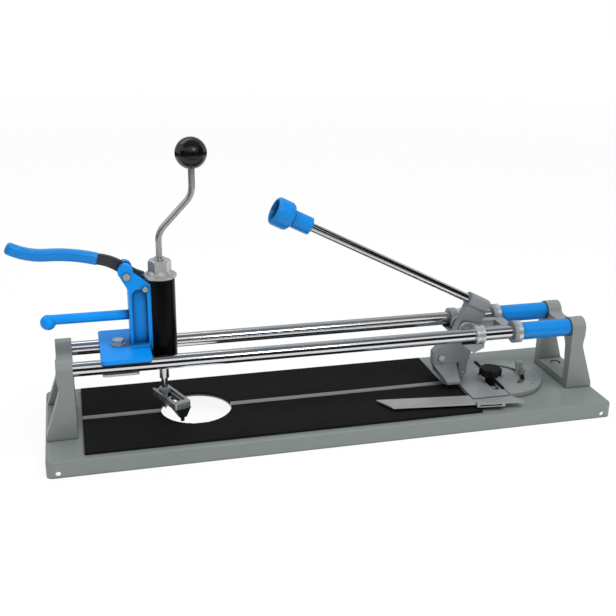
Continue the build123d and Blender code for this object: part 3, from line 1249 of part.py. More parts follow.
with BuildPart() as squeeze_lever:
    with BuildSketch(Plane.XZ):
        with BuildLine():
            Polyline(
                (strap_x, strap_z - strap_half),
                (strap_x - GRIP_ROUND, strap_z - strap_half),
                (strap_x - GRIP_ROUND, strap_z + strap_half),
                (strap_x, strap_z + strap_half),
            )
            ThreePointArc(
                (strap_x, strap_z + strap_half),
                ((strap_x + pin_x) / 2, (strap_z + pin_z) / 2 + STRAP_HEIGHT),
                (pin_x, pin_z + HEAD_RISE - JAW_GAP),
            )
            Polyline(
                (pin_x, pin_z + HEAD_RISE - JAW_GAP),
                (jaw_root - JAW_ROOT, jaw_high + STRAP_THICKNESS),
                (jaw_tip, jaw_high + JAW_NOSE),
                (jaw_tip, jaw_high),
                (jaw_root, jaw_high),
                (jaw_root, jaw_low),
                (jaw_tip, jaw_low),
                (jaw_tip, jaw_low - JAW_NOSE),
                (jaw_root, jaw_low - JAW_NOSE),
                (pin_x, pin_z - HEAD_RADIUS + JAW_NOSE),
            )
            ThreePointArc(
                (pin_x, pin_z - HEAD_RADIUS + JAW_NOSE),
                ((strap_x + pin_x) / 2, (strap_z + pin_z) / 2 - JAW_NOSE),
                (strap_x, strap_z - strap_half),
            )
        make_face()
    extrude(amount=STRAP_THICKNESS / 2, both=True)
    split(bisect_by=grip_end, keep=Keep.BOTTOM)
    with BuildSketch(grip_end):
        Rectangle(STRAP_THICKNESS, TANG_HEIGHT)
    extrude(amount=TANG_LENGTH)
    with BuildSketch(Plane.XZ):
        with Locations((pin_x, pin_z)):
            Circle(LEVER_PIN / 2 + RUN)
    extrude(amount=STRAP_THICKNESS, both=True, mode=Mode.SUBTRACT)
keep(squeeze_lever, "squeeze_lever")

with BuildPart() as squeeze_pin:
    with BuildSketch(Plane.XZ):
        with Locations((pin_x, pin_z)):
            Circle(LEVER_PIN / 2)
    extrude(amount=column_side, both=True)
    with BuildSketch(Plane.XZ.offset(column_side), Plane.XZ.offset(-column_side - LEVER_PIN_HEAD_HEIGHT)):
        with Locations((pin_x, pin_z)):
            Circle(LEVER_PIN_HEAD / 2)
    extrude(amount=LEVER_PIN_HEAD_HEIGHT)
keep(squeeze_pin, "squeeze_pin")

# Fixed lower handle with a drop-shaped end
with BuildPart() as lower_handle:
    with BuildSketch(Plane.YZ.offset(column_left)):
        with Locations((0, handle_z)):
            Circle(LOWER_HANDLE / 2)
    extrude(amount=-LOWER_HANDLE_LENGTH)
    with Locations((column_left - LOWER_HANDLE_LENGTH, 0, handle_z - LOWER_BALL_DROP)):
        Sphere(LOWER_BALL / 2)
    with BuildSketch(Plane.YZ.offset(column_left)):
        with Locations((0, handle_z)):
            Circle(LOWER_HANDLE_TANG / 2)
    extrude(amount=LOWER_HANDLE_TANG)
keep(lower_handle, "lower_handle")
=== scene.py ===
"""Looks of a manual tile cutter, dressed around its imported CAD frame.

Lengths named with _mm are millimetres; every other length is in metres.
"""

import logging
import math
from dataclasses import dataclass
from enum import Enum
from typing import Any

import bmesh
import bpy
from mathutils import Matrix, Vector


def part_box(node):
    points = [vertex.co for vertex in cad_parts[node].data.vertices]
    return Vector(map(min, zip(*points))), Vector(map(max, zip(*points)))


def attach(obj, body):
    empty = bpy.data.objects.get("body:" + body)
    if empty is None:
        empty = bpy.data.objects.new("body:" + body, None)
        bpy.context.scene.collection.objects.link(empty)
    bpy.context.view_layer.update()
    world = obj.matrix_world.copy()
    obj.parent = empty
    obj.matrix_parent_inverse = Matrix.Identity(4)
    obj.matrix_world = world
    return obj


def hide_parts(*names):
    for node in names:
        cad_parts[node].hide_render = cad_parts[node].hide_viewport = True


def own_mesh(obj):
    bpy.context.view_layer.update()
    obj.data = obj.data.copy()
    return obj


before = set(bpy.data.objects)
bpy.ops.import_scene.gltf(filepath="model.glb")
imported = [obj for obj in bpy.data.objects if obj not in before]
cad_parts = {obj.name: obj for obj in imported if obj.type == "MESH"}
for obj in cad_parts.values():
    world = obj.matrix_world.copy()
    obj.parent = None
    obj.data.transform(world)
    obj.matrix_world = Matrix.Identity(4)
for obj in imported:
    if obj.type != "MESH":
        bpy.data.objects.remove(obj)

LOG = logging.getLogger("tile_cutter")
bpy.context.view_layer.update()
MM = 0.001
# Points closer than this are one point
WELD = 0.001 * MM

Triple = tuple[float, float, float]


def linear(code: str) -> tuple[float, float, float, float]:
    """Turns an sRGB hex colour into linear RGBA.

    Args:
        code: colour as six hex digits after a hash.

    Returns:
        The linear colour with full alpha.
    """
    parts = [int(code[i : i + 2], 16) / 255 for i in (1, 3, 5)]
    red, green, blue = (c / 12.92 if c <= 0.04045 else ((c + 0.055) / 1.055) ** 2.4 for c in parts)
    return red, green, blue, 1.0


def add_node(
    tree: bpy.types.NodeTree, kind: str, inputs: dict | None = None, **settings: Any
) -> bpy.types.Node:
    """Adds a node with its settings, values and links.

    Args:
        tree: node tree that takes the node.
        kind: Blender's type name of the node.
        inputs: socket name or index to a value, or to an output socket to link.
        **settings: properties of the node itself.

    Returns:
        The new node.
    """
    node = tree.nodes.new(kind)
    for name, value in settings.items():
        setattr(node, name, value)
    for key, value in (inputs or {}).items():
        if isinstance(value, bpy.types.NodeSocket):
            tree.links.new(value, node.inputs[key])
        else:
            node.inputs[key].default_value = value
    return node


def empty_material(name: str) -> bpy.types.Material:
    """Makes a material with no nodes yet.

    Args:
        name: material's name.

    Returns:
        The material.
    """
    made = bpy.data.materials.new(name)
    made.use_nodes = True
    made.node_tree.nodes.clear()
    return made


def add_object(name: str, data: bpy.types.ID) -> bpy.types.Object:
    """Adds an object to the scene, at the origin.

    Args:
        name: object's name.
        data: its mesh, curve, lamp or camera.

    Returns:
        The object.
    """
    made = bpy.data.objects.new(name, data)
    bpy.context.scene.collection.objects.link(made)
    return made


def baked_mesh(carrier: bpy.types.Object) -> bpy.types.Mesh:
    """Takes the mesh that an object evaluates to, and removes the object.

    Args:
        carrier: object with a modifier or a text.

    Returns:
        The plain mesh.
    """
    bpy.context.view_layer.update()
    evaluated = carrier.evaluated_get(bpy.context.evaluated_depsgraph_get())
    mesh = bpy.data.meshes.new_from_object(evaluated)
    carrier.modifiers.clear()
    bpy.data.objects.remove(carrier)
    return mesh


def worked_mesh(name: str, work: bmesh.types.BMesh) -> bpy.types.Mesh:
    """Turns an edited mesh into a mesh of its own.

    Args:
        name: mesh's name.
        work: the edited mesh, which ends here.

    Returns:
        The mesh.
    """
    mesh = bpy.data.meshes.new(name)
    work.to_mesh(mesh)
    work.free()
    return mesh


def fix_normals(piece: bpy.types.Object) -> None:
    """Turns a closed piece's faces outwards.

    Args:
        piece: the piece.
    """
    work = bmesh.new()
    work.from_mesh(piece.data)
    bmesh.ops.recalc_face_normals(work, faces=work.faces)
    work.to_mesh(piece.data)
    work.free()


class Surface(Enum):
    """How a surface was made, as the share of its grain that turns into bump."""

    SPRAYED = 0.25
    CAST = 1.0
    ROLLED = 0.5
    POLISHED = 0.12
    MOULDED = 0.35


@dataclass(frozen=True)
class Finish:
    """One finish: what it is made of and what its surface shows.

    Attributes:
        name: material's name.
        colour: main colour.
        drift: colour that broad patches lean to.
        surface: how the surface was made.
        roughness: middle roughness.
        metallic: 1 for bare metal.
        grain_mm: size of the fine grain.
        depth_mm: height of the fine grain.
        stretch: how much longer the grain is along X, Y and Z.
        spread: how far the roughness wanders.
        coat: weight of a clear gloss on top.
        shine: strength of the plain surface reflection.
        worn: colour that shows where edges have rubbed, or none.
        grime: colour of painted shade laid into corners and gaps by ambient occlusion, or none.
        grime_mm: how far the painted shade spreads from them.
        grime_range: openness at which the painted shade covers fully, and at which it starts.
        edge_mm: radius that the edges look rounded to.
    """

    name: str
    colour: str
    drift: str
    surface: Surface
    roughness: float
    metallic: float = 0.0
    grain_mm: float = 1.0
    depth_mm: float = 0.05
    stretch: Triple = (1.0, 1.0, 1.0)
    spread: float = 0.08
    coat: float = 0.0
    shine: float = 0.5
    worn: str | None = None
    grime: str | None = None
    grime_mm: float = 5.0
    grime_range: tuple[float, float] = (0.35, 0.8)
    edge_mm: float = 0.5

    # Size of the broad patches of colour
    PATCH_MM = 45.0
    # Noise values between which most of the grain lies
    GRAIN_SPAN = (0.3, 0.7)
    # Cosine between the true and the rounded normal where rubbing starts and where it is full
    RUB_SPAN = (0.99, 0.90)
    # Noise values between which rubbed spots fade in, and the most they cover
    SPOT_SPAN = (0.45, 0.75)
    SPOT_MOST = 0.7
    # The most that the painted shade in corners covers
    GRIME_MOST = 0.9
    LEAST_ROUGHNESS = 0.02
    COAT_ROUGHNESS = 0.08

    def material(self) -> bpy.types.Material:
        """Builds the finish as a node material.

        Returns:
            The material.
        """
        made = empty_material(self.name)
        tree = made.node_tree
        place = add_node(tree, "ShaderNodeTexCoord").outputs["Object"]
        along = add_node(
            tree, "ShaderNodeMapping", {"Vector": place, "Scale": [1 / s for s in self.stretch]}
        ).outputs["Vector"]
        grain = add_node(
            tree,
            "ShaderNodeTexNoise",
            {"Vector": along, "Scale": 1 / (self.grain_mm * MM), "Detail": 3.0},
        ).outputs["Fac"]
        patches = add_node(
            tree,
            "ShaderNodeTexNoise",
            {"Vector": along, "Scale": 1 / (self.PATCH_MM * MM), "Detail": 2.0},
        ).outputs["Fac"]
        # a Mix node's colours are its sockets 6 and 7, after the plain and vector ones
        shown = add_node(
            tree,
            "ShaderNodeMix",
            {0: patches, 6: linear(self.colour), 7: linear(self.drift)},
            data_type="RGBA",
        ).outputs[2]
        rounded = add_node(
            tree, "ShaderNodeBevel", {"Radius": self.edge_mm * MM}, samples=4
        ).outputs["Normal"]
        if self.worn:
            shown = self.rub(tree, shown, rounded, grain)
        # Painted shade: corners, gaps and hollows darkened by their ambient occlusion
        if self.grime:
            shown = self.soil(tree, shown)
        least, most = self.GRAIN_SPAN
        rough = add_node(
            tree,
            "ShaderNodeMapRange",
            {
                "Value": grain,
                "From Min": least,
                "From Max": most,
                "To Min": max(self.LEAST_ROUGHNESS, self.roughness - self.spread),
                "To Max": self.roughness + self.spread,
            },
        ).outputs["Result"]
        bump = add_node(
            tree,
            "ShaderNodeBump",
            {
                "Strength": self.surface.value,
                "Distance": self.depth_mm * MM,
                "Height": grain,
                "Normal": rounded,
            },
        ).outputs["Normal"]
        shader = add_node(
            tree,
            "ShaderNodeBsdfPrincipled",
            {
                "Base Color": shown,
                "Metallic": self.metallic,
                "Roughness": rough,
                "Normal": bump,
                "Specular IOR Level": self.shine,
                "Coat Weight": self.coat,
                "Coat Roughness": self.COAT_ROUGHNESS,
            },
        ).outputs["BSDF"]
        add_node(tree, "ShaderNodeOutputMaterial", {"Surface": shader})
        return made

    def rub(
        self,
        tree: bpy.types.NodeTree,
        shown: bpy.types.NodeSocket,
        rounded: bpy.types.NodeSocket,
        grain: bpy.types.NodeSocket,
    ) -> bpy.types.NodeSocket:
        """Lets the worn colour through in spots along the edges.

        Args:
            tree: material's tree.
            shown: colour so far.
            rounded: normal with rounded edges.
            grain: fine grain, which breaks the wear up.

        Returns:
            The colour with wear.
        """
        flat = add_node(tree, "ShaderNodeNewGeometry").outputs["Normal"]
        turn = add_node(
            tree, "ShaderNodeVectorMath", {0: rounded, 1: flat}, operation="DOT_PRODUCT"
        ).outputs["Value"]
        start, full = self.RUB_SPAN
        edges = add_node(
            tree,
            "ShaderNodeMapRange",
            {"Value": turn, "From Min": start, "From Max": full, "To Min": 0.0, "To Max": 1.0},
        ).outputs["Result"]
        least, most = self.SPOT_SPAN
        spots = add_node(
            tree,
            "ShaderNodeMapRange",
            {
                "Value": grain,
                "From Min": least,
                "From Max": most,
                "To Min": 0.0,
                "To Max": self.SPOT_MOST,
            },
        ).outputs["Result"]
        amount = add_node(tree, "ShaderNodeMath", {0: edges, 1: spots}, operation="MULTIPLY")
        return add_node(
            tree,
            "ShaderNodeMix",
            {0: amount.outputs[0], 6: shown, 7: linear(self.worn)},
            data_type="RGBA",
        ).outputs[2]

    def soil(
        self, tree: bpy.types.NodeTree, shown: bpy.types.NodeSocket
    ) -> bpy.types.NodeSocket:
        """Paints shade into corners and gaps, darker where ambient occlusion finds them closed in.

        Args:
            tree: material's tree.
            shown: colour so far.

        Returns:
            The colour with painted shade.
        """
        clear = add_node(
            tree, "ShaderNodeAmbientOcclusion", {"Distance": self.grime_mm * MM}, samples=6
        ).outputs["AO"]
        full, start = self.grime_range
        caught = add_node(
            tree,
            "ShaderNodeMapRange",
            {
                "Value": clear,
                "From Min": full,
                "From Max": start,
                "To Min": self.GRIME_MOST,
                "To Max": 0.0,
            },
        ).outputs["Result"]
        return add_node(
            tree, "ShaderNodeMix", {0: caught, 6: shown, 7: linear(self.grime)}, data_type="RGBA"
        ).outputs[2]


# Real sand grain and moulding grain are too fine to show, so the finishes draw them coarser

# Stoved enamel on pressed sheet: an even grey-green with a faint orange peel, painted shade in corners
BASE_ENAMEL = Finish(
    "stoved_enamel_grey", "#7b8481", "#818986", Surface.SPRAYED, 0.40, grain_mm=1.6,
    depth_mm=0.04, coat=0.15, worn="#a3aaa8", grime="#3f4543", grime_mm=4.0, edge_mm=0.8,
)
# The same paint on rough castings: greyer and a little uneven, with painted shade in corners
POST_ENAMEL = Finish(
    "enamel_on_casting", "#838886", "#8a8f8d", Surface.CAST, 0.44, grain_mm=1.4,
    depth_mm=0.05, coat=0.1, worn="#a9adab", grime="#3f4342", edge_mm=1.0,
)
# Nitrile rubber sheet: soft black with a dusty bloom
MAT_RUBBER = Finish(
    "nitrile_rubber", "#151516", "#1c1c1d", Surface.MOULDED, 0.75, grain_mm=0.6,
    depth_mm=0.05, spread=0.1, shine=0.15, edge_mm=0.3,
)
# Extruded light metal: fine lines along its length
RIDGE_METAL = Finish(
    "extruded_aluminium", "#97999a", "#888a8a", Surface.ROLLED, 0.42, metallic=0.5,
    grain_mm=0.5, depth_mm=0.02, stretch=(40.0, 1.0, 1.0), edge_mm=0.4,
)
# Ground and chromed steel tube: a mirror with very faint polishing lines
RAIL_CHROME = Finish(
    "chromed_steel_tube", "#d9dbdd", "#cfd1d4", Surface.POLISHED, 0.09, metallic=1.0,
    grain_mm=0.8, depth_mm=0.0004, stretch=(200.0, 1.0, 1.0), spread=0.02, edge_mm=0.3,
)
# Chromed rod that a hand wears: as the rails, a little softer
ROD_CHROME = Finish(
    "chromed_steel_rod", "#d2d4d6", "#c4c6c9", Surface.POLISHED, 0.10, metallic=1.0,
    grain_mm=0.8, depth_mm=0.0006, spread=0.03, edge_mm=0.3,
)
# Bent bar with a plain zinc flash: duller and greyer than chrome
CRANK_STEEL = Finish(
    "zinc_flashed_bar", "#b9bbbd", "#acaeb0", Surface.ROLLED, 0.22, metallic=0.75,
    grain_mm=0.8, depth_mm=0.002, spread=0.05, edge_mm=0.3,
)
# Dipped soft vinyl and moulded sleeves: bright even blue with a soft gloss, painted shade in hollows
BLUE_PLASTIC = Finish(
    "moulded_vinyl_blue", "#057fd0", "#0886d9", Surface.MOULDED, 0.34, grain_mm=0.9,
    depth_mm=0.03, coat=0.1, shine=0.3, grime="#02101f", grime_mm=14.0, grime_range=(0.6, 0.9),
    edge_mm=0.8,
)
# Gloss enamel over a casting: blue with sand grain just showing through, painted shade in its hollows
BLUE_ENAMEL = Finish(
    "gloss_enamel_blue", "#0890ec", "#0b98f4", Surface.CAST, 0.34, grain_mm=1.8,
    depth_mm=0.05, coat=0.05, shine=0.15, worn="#3a98e6", grime="#042f57", grime_mm=16.0,
    grime_range=(0.5, 0.98), edge_mm=0.9,
)
# Black gloss enamel on a drawn tube: deep black with hardly a sheen
HOUSING_ENAMEL = Finish(
    "gloss_enamel_black", "#060607", "#09090a", Surface.SPRAYED, 0.26, grain_mm=1.6,
    depth_mm=0.01, shine=0.08, edge_mm=0.6,
)
# Compression-moulded phenolic ball: deep black gloss with a small bright highlight
KNOB_PHENOLIC = Finish(
    "phenolic_black", "#0b0b0c", "#101011", Surface.MOULDED, 0.22, grain_mm=0.8,
    depth_mm=0.004, coat=0.15, shine=0.35, edge_mm=0.6,
)
# Glass-filled nylon star knob: satin black
KNOB_NYLON = Finish(
    "filled_nylon_black", "#0c0c0d", "#121213", Surface.MOULDED, 0.45, grain_mm=0.6,
    depth_mm=0.02, shine=0.2, edge_mm=0.5,
)
# Pressure-cast light alloy: dull grey with a fine sandy skin, painted shade in corners
CAST_ALLOY = Finish(
    "cast_aluminium", "#969b9f", "#888d92", Surface.CAST, 0.50, metallic=0.2, grain_mm=1.2,
    depth_mm=0.08, worn="#b4b7b9", grime="#2a2c2e", edge_mm=0.8,
)
# Tumbled zinc casting of the protractor: even pale grey with painted shade in its slot
PLATE_ALLOY = Finish(
    "tumbled_zinc_alloy", "#969b99", "#8c9190", Surface.CAST, 0.46, metallic=0.1,
    grain_mm=1.0, depth_mm=0.05, worn="#b9bdbb", grime="#121314", grime_mm=7.0, edge_mm=0.7,
)
# Milled face of the fence casting: paler, with cutter lines along it and painted shade at its steps
FENCE_ALLOY = Finish(
    "milled_aluminium", "#9ba0a4", "#92979b", Surface.ROLLED, 0.44, metallic=0.25,
    grain_mm=0.7, depth_mm=0.03, stretch=(1.0, 12.0, 1.0), worn="#c0c3c6", grime="#1a1b1d",
    grime_mm=6.0, edge_mm=0.6,
)
# Rolled bright steel strip: pale grey with fine lines along it, painted shade in corners
RULER_STEEL = Finish(
    "rolled_steel_strip", "#a9abaa", "#9ea09f", Surface.ROLLED, 0.38, metallic=0.4,
    grain_mm=0.4, depth_mm=0.015, stretch=(40.0, 4.0, 1.0), grime="#1a1b1c", grime_mm=3.0,
    edge_mm=0.3,
)
# Turned steel bushes: bright, with tool lines round them
BUSH_STEEL = Finish(
    "turned_steel", "#d2d5d7", "#c4c7c9", Surface.ROLLED, 0.28, metallic=0.6, grain_mm=0.5,
    depth_mm=0.004, stretch=(1.0, 8.0, 8.0), spread=0.03, edge_mm=0.4,
)
# Zinc plate: pale, slightly cloudy
ZINC_PLATE = Finish(
    "zinc_plated_steel", "#c4c7c5", "#b4b7b4", Surface.ROLLED, 0.30, metallic=0.6,
    grain_mm=1.0, depth_mm=0.02, spread=0.1, edge_mm=0.4,
)
# Oiled hot-rolled strap: dark grey, rubbed bright along its edges
DARK_STEEL = Finish(
    "oiled_steel", "#5a5d60", "#4a4d50", Surface.ROLLED, 0.42, metallic=0.9, grain_mm=0.8,
    depth_mm=0.03, stretch=(10.0, 1.0, 2.0), worn="#8b8e90", edge_mm=0.5,
)
# Channel of the cutter arm: drawn steel, brighter than the strap, painted shade in its channel
ARM_STEEL = Finish(
    "drawn_steel", "#b9bdbf", "#9a9fa1", Surface.ROLLED, 0.22, metallic=0.75, grain_mm=0.8,
    depth_mm=0.02, worn="#eceeef", grime="#0c0d0e", grime_mm=6.0, edge_mm=0.7,
)
# Blackened steel: soft black, grey where it is rubbed
BLACK_OXIDE = Finish(
    "black_oxide_steel", "#17181a", "#212325", Surface.CAST, 0.40, metallic=0.4, grain_mm=0.9,
    depth_mm=0.03, worn="#55585a", edge_mm=0.4,
)
# Ground tool steel and carbide: clean grey metal with sharp edges
TOOL_STEEL = Finish(
    "ground_tool_steel", "#9a9ca0", "#85878b", Surface.ROLLED, 0.26, metallic=1.0,
    grain_mm=0.3, depth_mm=0.01, edge_mm=0.15,
)
# Bronze guide bush: warm brown metal, dulled by oil
GUIDE_BRONZE = Finish(
    "sintered_bronze", "#a8854a", "#8f6f3b", Surface.CAST, 0.38, metallic=1.0, grain_mm=0.5,
    depth_mm=0.02, edge_mm=0.3,
)
# Paint wiped into engraved marks: flat dark grey
MARK_INK = Finish(
    "engraving_paint", "#33373a", "#2a2d30", Surface.MOULDED, 0.6, grain_mm=0.5,
    depth_mm=0.01, edge_mm=0.05,
)


class Paintbox:
    """Makes each finish once and gives it to the pieces that share it."""

    def __init__(self) -> None:
        """Starts with no material made."""
        self.made: dict[str, bpy.types.Material] = {}

    def get(self, finish: Finish) -> bpy.types.Material:
        """Gives the material of a finish.

        Args:
            finish: the finish wanted.

        Returns:
            Its material, made on first use.
        """
        if finish.name not in self.made:
            self.made[finish.name] = finish.material()
        return self.made[finish.name]

    def dress(self, finish: Finish, *names: str) -> None:
        """Gives CAD nodes a finish.

        Args:
            finish: the finish.
            *names: the nodes' names.
        """
        for name in names:
            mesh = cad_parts[name].data
            mesh.materials.clear()
            mesh.materials.append(self.get(finish))
            LOG.info("dressed %s in %s", name, finish.name)


class Tree:
    """A Geometry Nodes tree with named inputs, turned into plain meshes."""

    KINDS = {
        float: "NodeSocketFloat",
        int: "NodeSocketInt",
        bpy.types.Material: "NodeSocketMaterial",
    }

    def __init__(self, name: str, inputs: dict[str, type]) -> None:
        """Opens the tree with its group sockets.

        Args:
            name: tree's name.
            inputs: input name to its type.
        """
        self.tree = bpy.data.node_groups.new(name, "GeometryNodeTree")
        face = self.tree.interface
        self.sockets = {
            key: face.new_socket(key, in_out="INPUT", socket_type=self.KINDS[kind])
            for key, kind in inputs.items()
        }
        face.new_socket("Geometry", in_out="OUTPUT", socket_type="NodeSocketGeometry")
        self.given = add_node(self.tree, "NodeGroupInput").outputs

    def close(self, geometry: bpy.types.NodeSocket) -> None:
        """Ends the tree in real, painted geometry.

        Args:
            geometry: socket with what the tree makes.
        """
        real = add_node(self.tree, "GeometryNodeRealizeInstances", {"Geometry": geometry}).outputs[0]
        painted = add_node(
            self.tree, "GeometryNodeSetMaterial", {"Geometry": real, "Material": self.given["Material"]}
        ).outputs[0]
        add_node(self.tree, "NodeGroupOutput", {"Geometry": painted})

    def mesh(self, name: str, values: dict[str, Any]) -> bpy.types.Object:
        """Runs the tree and keeps its result as a plain mesh at the origin.

        Args:
            name: piece's name.
            values: input name to its value.

        Returns:
            The piece.
        """
        carrier = add_object(name + "_carrier", bpy.data.meshes.new(name + "_carrier"))
        modifier = carrier.modifiers.new("make", "NODES")
        modifier.node_group = self.tree
        for key, value in values.items():
            modifier[self.sockets[key].identifier] = value
        mesh = baked_mesh(carrier)
        mesh.name = name
        return add_object(name, mesh)


def ribbed_sheet_tree() -> Tree:
    """Makes the tree of a ribbed sheet, cut back from a round hole.

    Returns:
        The tree: one half of a mat, on one side of the hole's middle.
    """
    made = Tree(
        "ribbed_sheet",
        {
            "End": float, "Hole X": float, "Hole radius": float, "Side": float,
            "Inner": float, "Outer": float, "Bed": float, "Thickness": float,
            "Pitch": float, "Depth": float, "Rows": int, "Material": bpy.types.Material,
        },
    )
    tree, given = made.tree, made.given
    # A grid one unit wide, which is then stretched over the mat
    grid = add_node(
        tree,
        "GeometryNodeMeshGrid",
        {"Size X": 1.0, "Size Y": 1.0, "Vertices X": 2, "Vertices Y": given["Rows"]},
    ).outputs["Mesh"]
    grid_half = 0.5
    flat = add_node(tree, "GeometryNodeInputPosition").outputs[0]
    spot = add_node(tree, "ShaderNodeSeparateXYZ", {0: flat})
    across = add_node(
        tree,
        "ShaderNodeMapRange",
        {
            "Value": spot.outputs["Y"],
            "From Min": -grid_half,
            "From Max": grid_half,
            "To Min": given["Inner"],
            "To Max": given["Outer"],
        },
    ).outputs["Result"]
    # Half the hole's chord at this row tells where the row starts
    across_square = add_node(
        tree, "ShaderNodeMath", {0: across, 1: across}, operation="MULTIPLY"
    ).outputs[0]
    hole_square = add_node(
        tree, "ShaderNodeMath", {0: given["Hole radius"], 1: given["Hole radius"]}, operation="MULTIPLY"
    ).outputs[0]
    left_over = add_node(
        tree, "ShaderNodeMath", {0: hole_square, 1: across_square}, operation="SUBTRACT"
    ).outputs[0]
    inside = add_node(tree, "ShaderNodeMath", {0: left_over, 1: 0.0}, operation="MAXIMUM").outputs[0]
    chord = add_node(tree, "ShaderNodeMath", {0: inside}, operation="SQRT").outputs[0]
    step = add_node(tree, "ShaderNodeMath", {0: chord, 1: given["Side"]}, operation="MULTIPLY").outputs[0]
    rim = add_node(tree, "ShaderNodeMath", {0: given["Hole X"], 1: step}, operation="ADD").outputs[0]
    along = add_node(
        tree,
        "ShaderNodeMapRange",
        {
            "Value": spot.outputs["X"],
            "From Min": -grid_half,
            "From Max": grid_half,
            "To Min": rim,
            "To Max": given["End"],
        },
    ).outputs["Result"]
    place = add_node(
        tree, "ShaderNodeCombineXYZ", {"X": along, "Y": across, "Z": given["Bed"]}
    ).outputs[0]
    sheet = add_node(tree, "GeometryNodeSetPosition", {"Geometry": grid, "Position": place}).outputs[0]
    lift = add_node(tree, "ShaderNodeCombineXYZ", {"Z": given["Thickness"]}).outputs[0]
    thick = add_node(
        tree,
        "GeometryNodeExtrudeMesh",
        {"Mesh": sheet, "Offset": lift, "Offset Scale": 1.0, "Individual": False},
        mode="FACES",
    )
    # A cosine with its ends cut off: flat ribs, flat grooves and short flanks
    risen = add_node(tree, "GeometryNodeInputPosition").outputs[0]
    row = add_node(tree, "ShaderNodeSeparateXYZ", {0: risen}).outputs["Y"]
    turns = add_node(tree, "ShaderNodeMath", {0: row, 1: given["Pitch"]}, operation="DIVIDE").outputs[0]
    angle = add_node(tree, "ShaderNodeMath", {0: turns, 1: math.tau}, operation="MULTIPLY").outputs[0]
    wave = add_node(tree, "ShaderNodeMath", {0: angle}, operation="COSINE").outputs[0]
    flank = 0.4
    drop = add_node(
        tree,
        "ShaderNodeMapRange",
        {"Value": wave, "From Min": -flank, "From Max": flank, "To Min": 0.0, "To Max": given["Depth"]},
    ).outputs["Result"]
    sunk = add_node(tree, "ShaderNodeMath", {0: drop, 1: -1.0}, operation="MULTIPLY").outputs[0]
    grooves = add_node(tree, "ShaderNodeCombineXYZ", {"Z": sunk}).outputs[0]
    ribbed = add_node(
        tree,
        "GeometryNodeSetPosition",
        {"Geometry": thick.outputs["Mesh"], "Selection": thick.outputs["Top"], "Offset": grooves},
    ).outputs[0]
    # Extruding leaves the underside open, so the flat sheet closes it
    under = add_node(tree, "GeometryNodeFlipFaces", {"Mesh": sheet}).outputs[0]
    both = add_node(tree, "GeometryNodeJoinGeometry")
    tree.links.new(under, both.inputs[0])
    tree.links.new(ribbed, both.inputs[0])
    merged = add_node(
        tree, "GeometryNodeMergeByDistance", {"Geometry": both.outputs[0], "Distance": WELD}
    ).outputs[0]
    made.close(merged)
    return made


def scale_marks_tree() -> Tree:
    """Makes the tree of radial marks along an arc.

    Returns:
        The tree, round the Z axis through the given middle.
    """
    made = Tree(
        "scale_marks",
        {
            "Count": int, "Every": int, "Middle X": float, "Middle Y": float, "Z": float,
            "Radius": float, "Start": float, "Step": float, "Short": float, "Long": float,
            "Width": float, "Height": float, "Material": bpy.types.Material,
        },
    )
    tree, given = made.tree, made.given
    points = add_node(
        tree, "GeometryNodeMeshLine", {"Count": given["Count"]}, mode="OFFSET", count_mode="TOTAL"
    ).outputs["Mesh"]
    index = add_node(tree, "GeometryNodeInputIndex").outputs[0]
    turned = add_node(
        tree, "ShaderNodeMath", {0: index, 1: given["Step"]}, operation="MULTIPLY"
    ).outputs[0]
    angle = add_node(tree, "ShaderNodeMath", {0: turned, 1: given["Start"]}, operation="ADD").outputs[0]
    # Every so many marks, the remainder is 0 and the mark is a long one
    rest = add_node(tree, "ShaderNodeMath", {0: index, 1: given["Every"]}, operation="MODULO").outputs[0]
    major = add_node(tree, "ShaderNodeMath", {0: rest, 1: 0.5}, operation="LESS_THAN").outputs[0]
    length = add_node(
        tree, "ShaderNodeMapRange", {"Value": major, "To Min": given["Short"], "To Max": given["Long"]}
    ).outputs["Result"]
    half = add_node(tree, "ShaderNodeMath", {0: length, 1: 0.5}, operation="MULTIPLY").outputs[0]
    reach = add_node(
        tree, "ShaderNodeMath", {0: given["Radius"], 1: half}, operation="SUBTRACT"
    ).outputs[0]
    spot = {"Z": given["Z"]}
    for axis, wave in (("X", "COSINE"), ("Y", "SINE")):
        share = add_node(tree, "ShaderNodeMath", {0: angle}, operation=wave).outputs[0]
        out = add_node(tree, "ShaderNodeMath", {0: reach, 1: share}, operation="MULTIPLY").outputs[0]
        spot[axis] = add_node(
            tree, "ShaderNodeMath", {0: out, 1: given["Middle " + axis]}, operation="ADD"
        ).outputs[0]
    place = add_node(tree, "ShaderNodeCombineXYZ", spot).outputs[0]
    placed = add_node(tree, "GeometryNodeSetPosition", {"Geometry": points, "Position": place}).outputs[0]
    bar = add_node(tree, "GeometryNodeMeshCube").outputs["Mesh"]
    turn = add_node(tree, "ShaderNodeCombineXYZ", {"Z": angle}).outputs[0]
    size = add_node(
        tree, "ShaderNodeCombineXYZ", {"X": length, "Y": given["Width"], "Z": given["Height"]}
    ).outputs[0]
    bars = add_node(
        tree,
        "GeometryNodeInstanceOnPoints",
        {"Points": placed, "Instance": bar, "Rotation": turn, "Scale": size},
    ).outputs[0]
    made.close(bars)
    return made


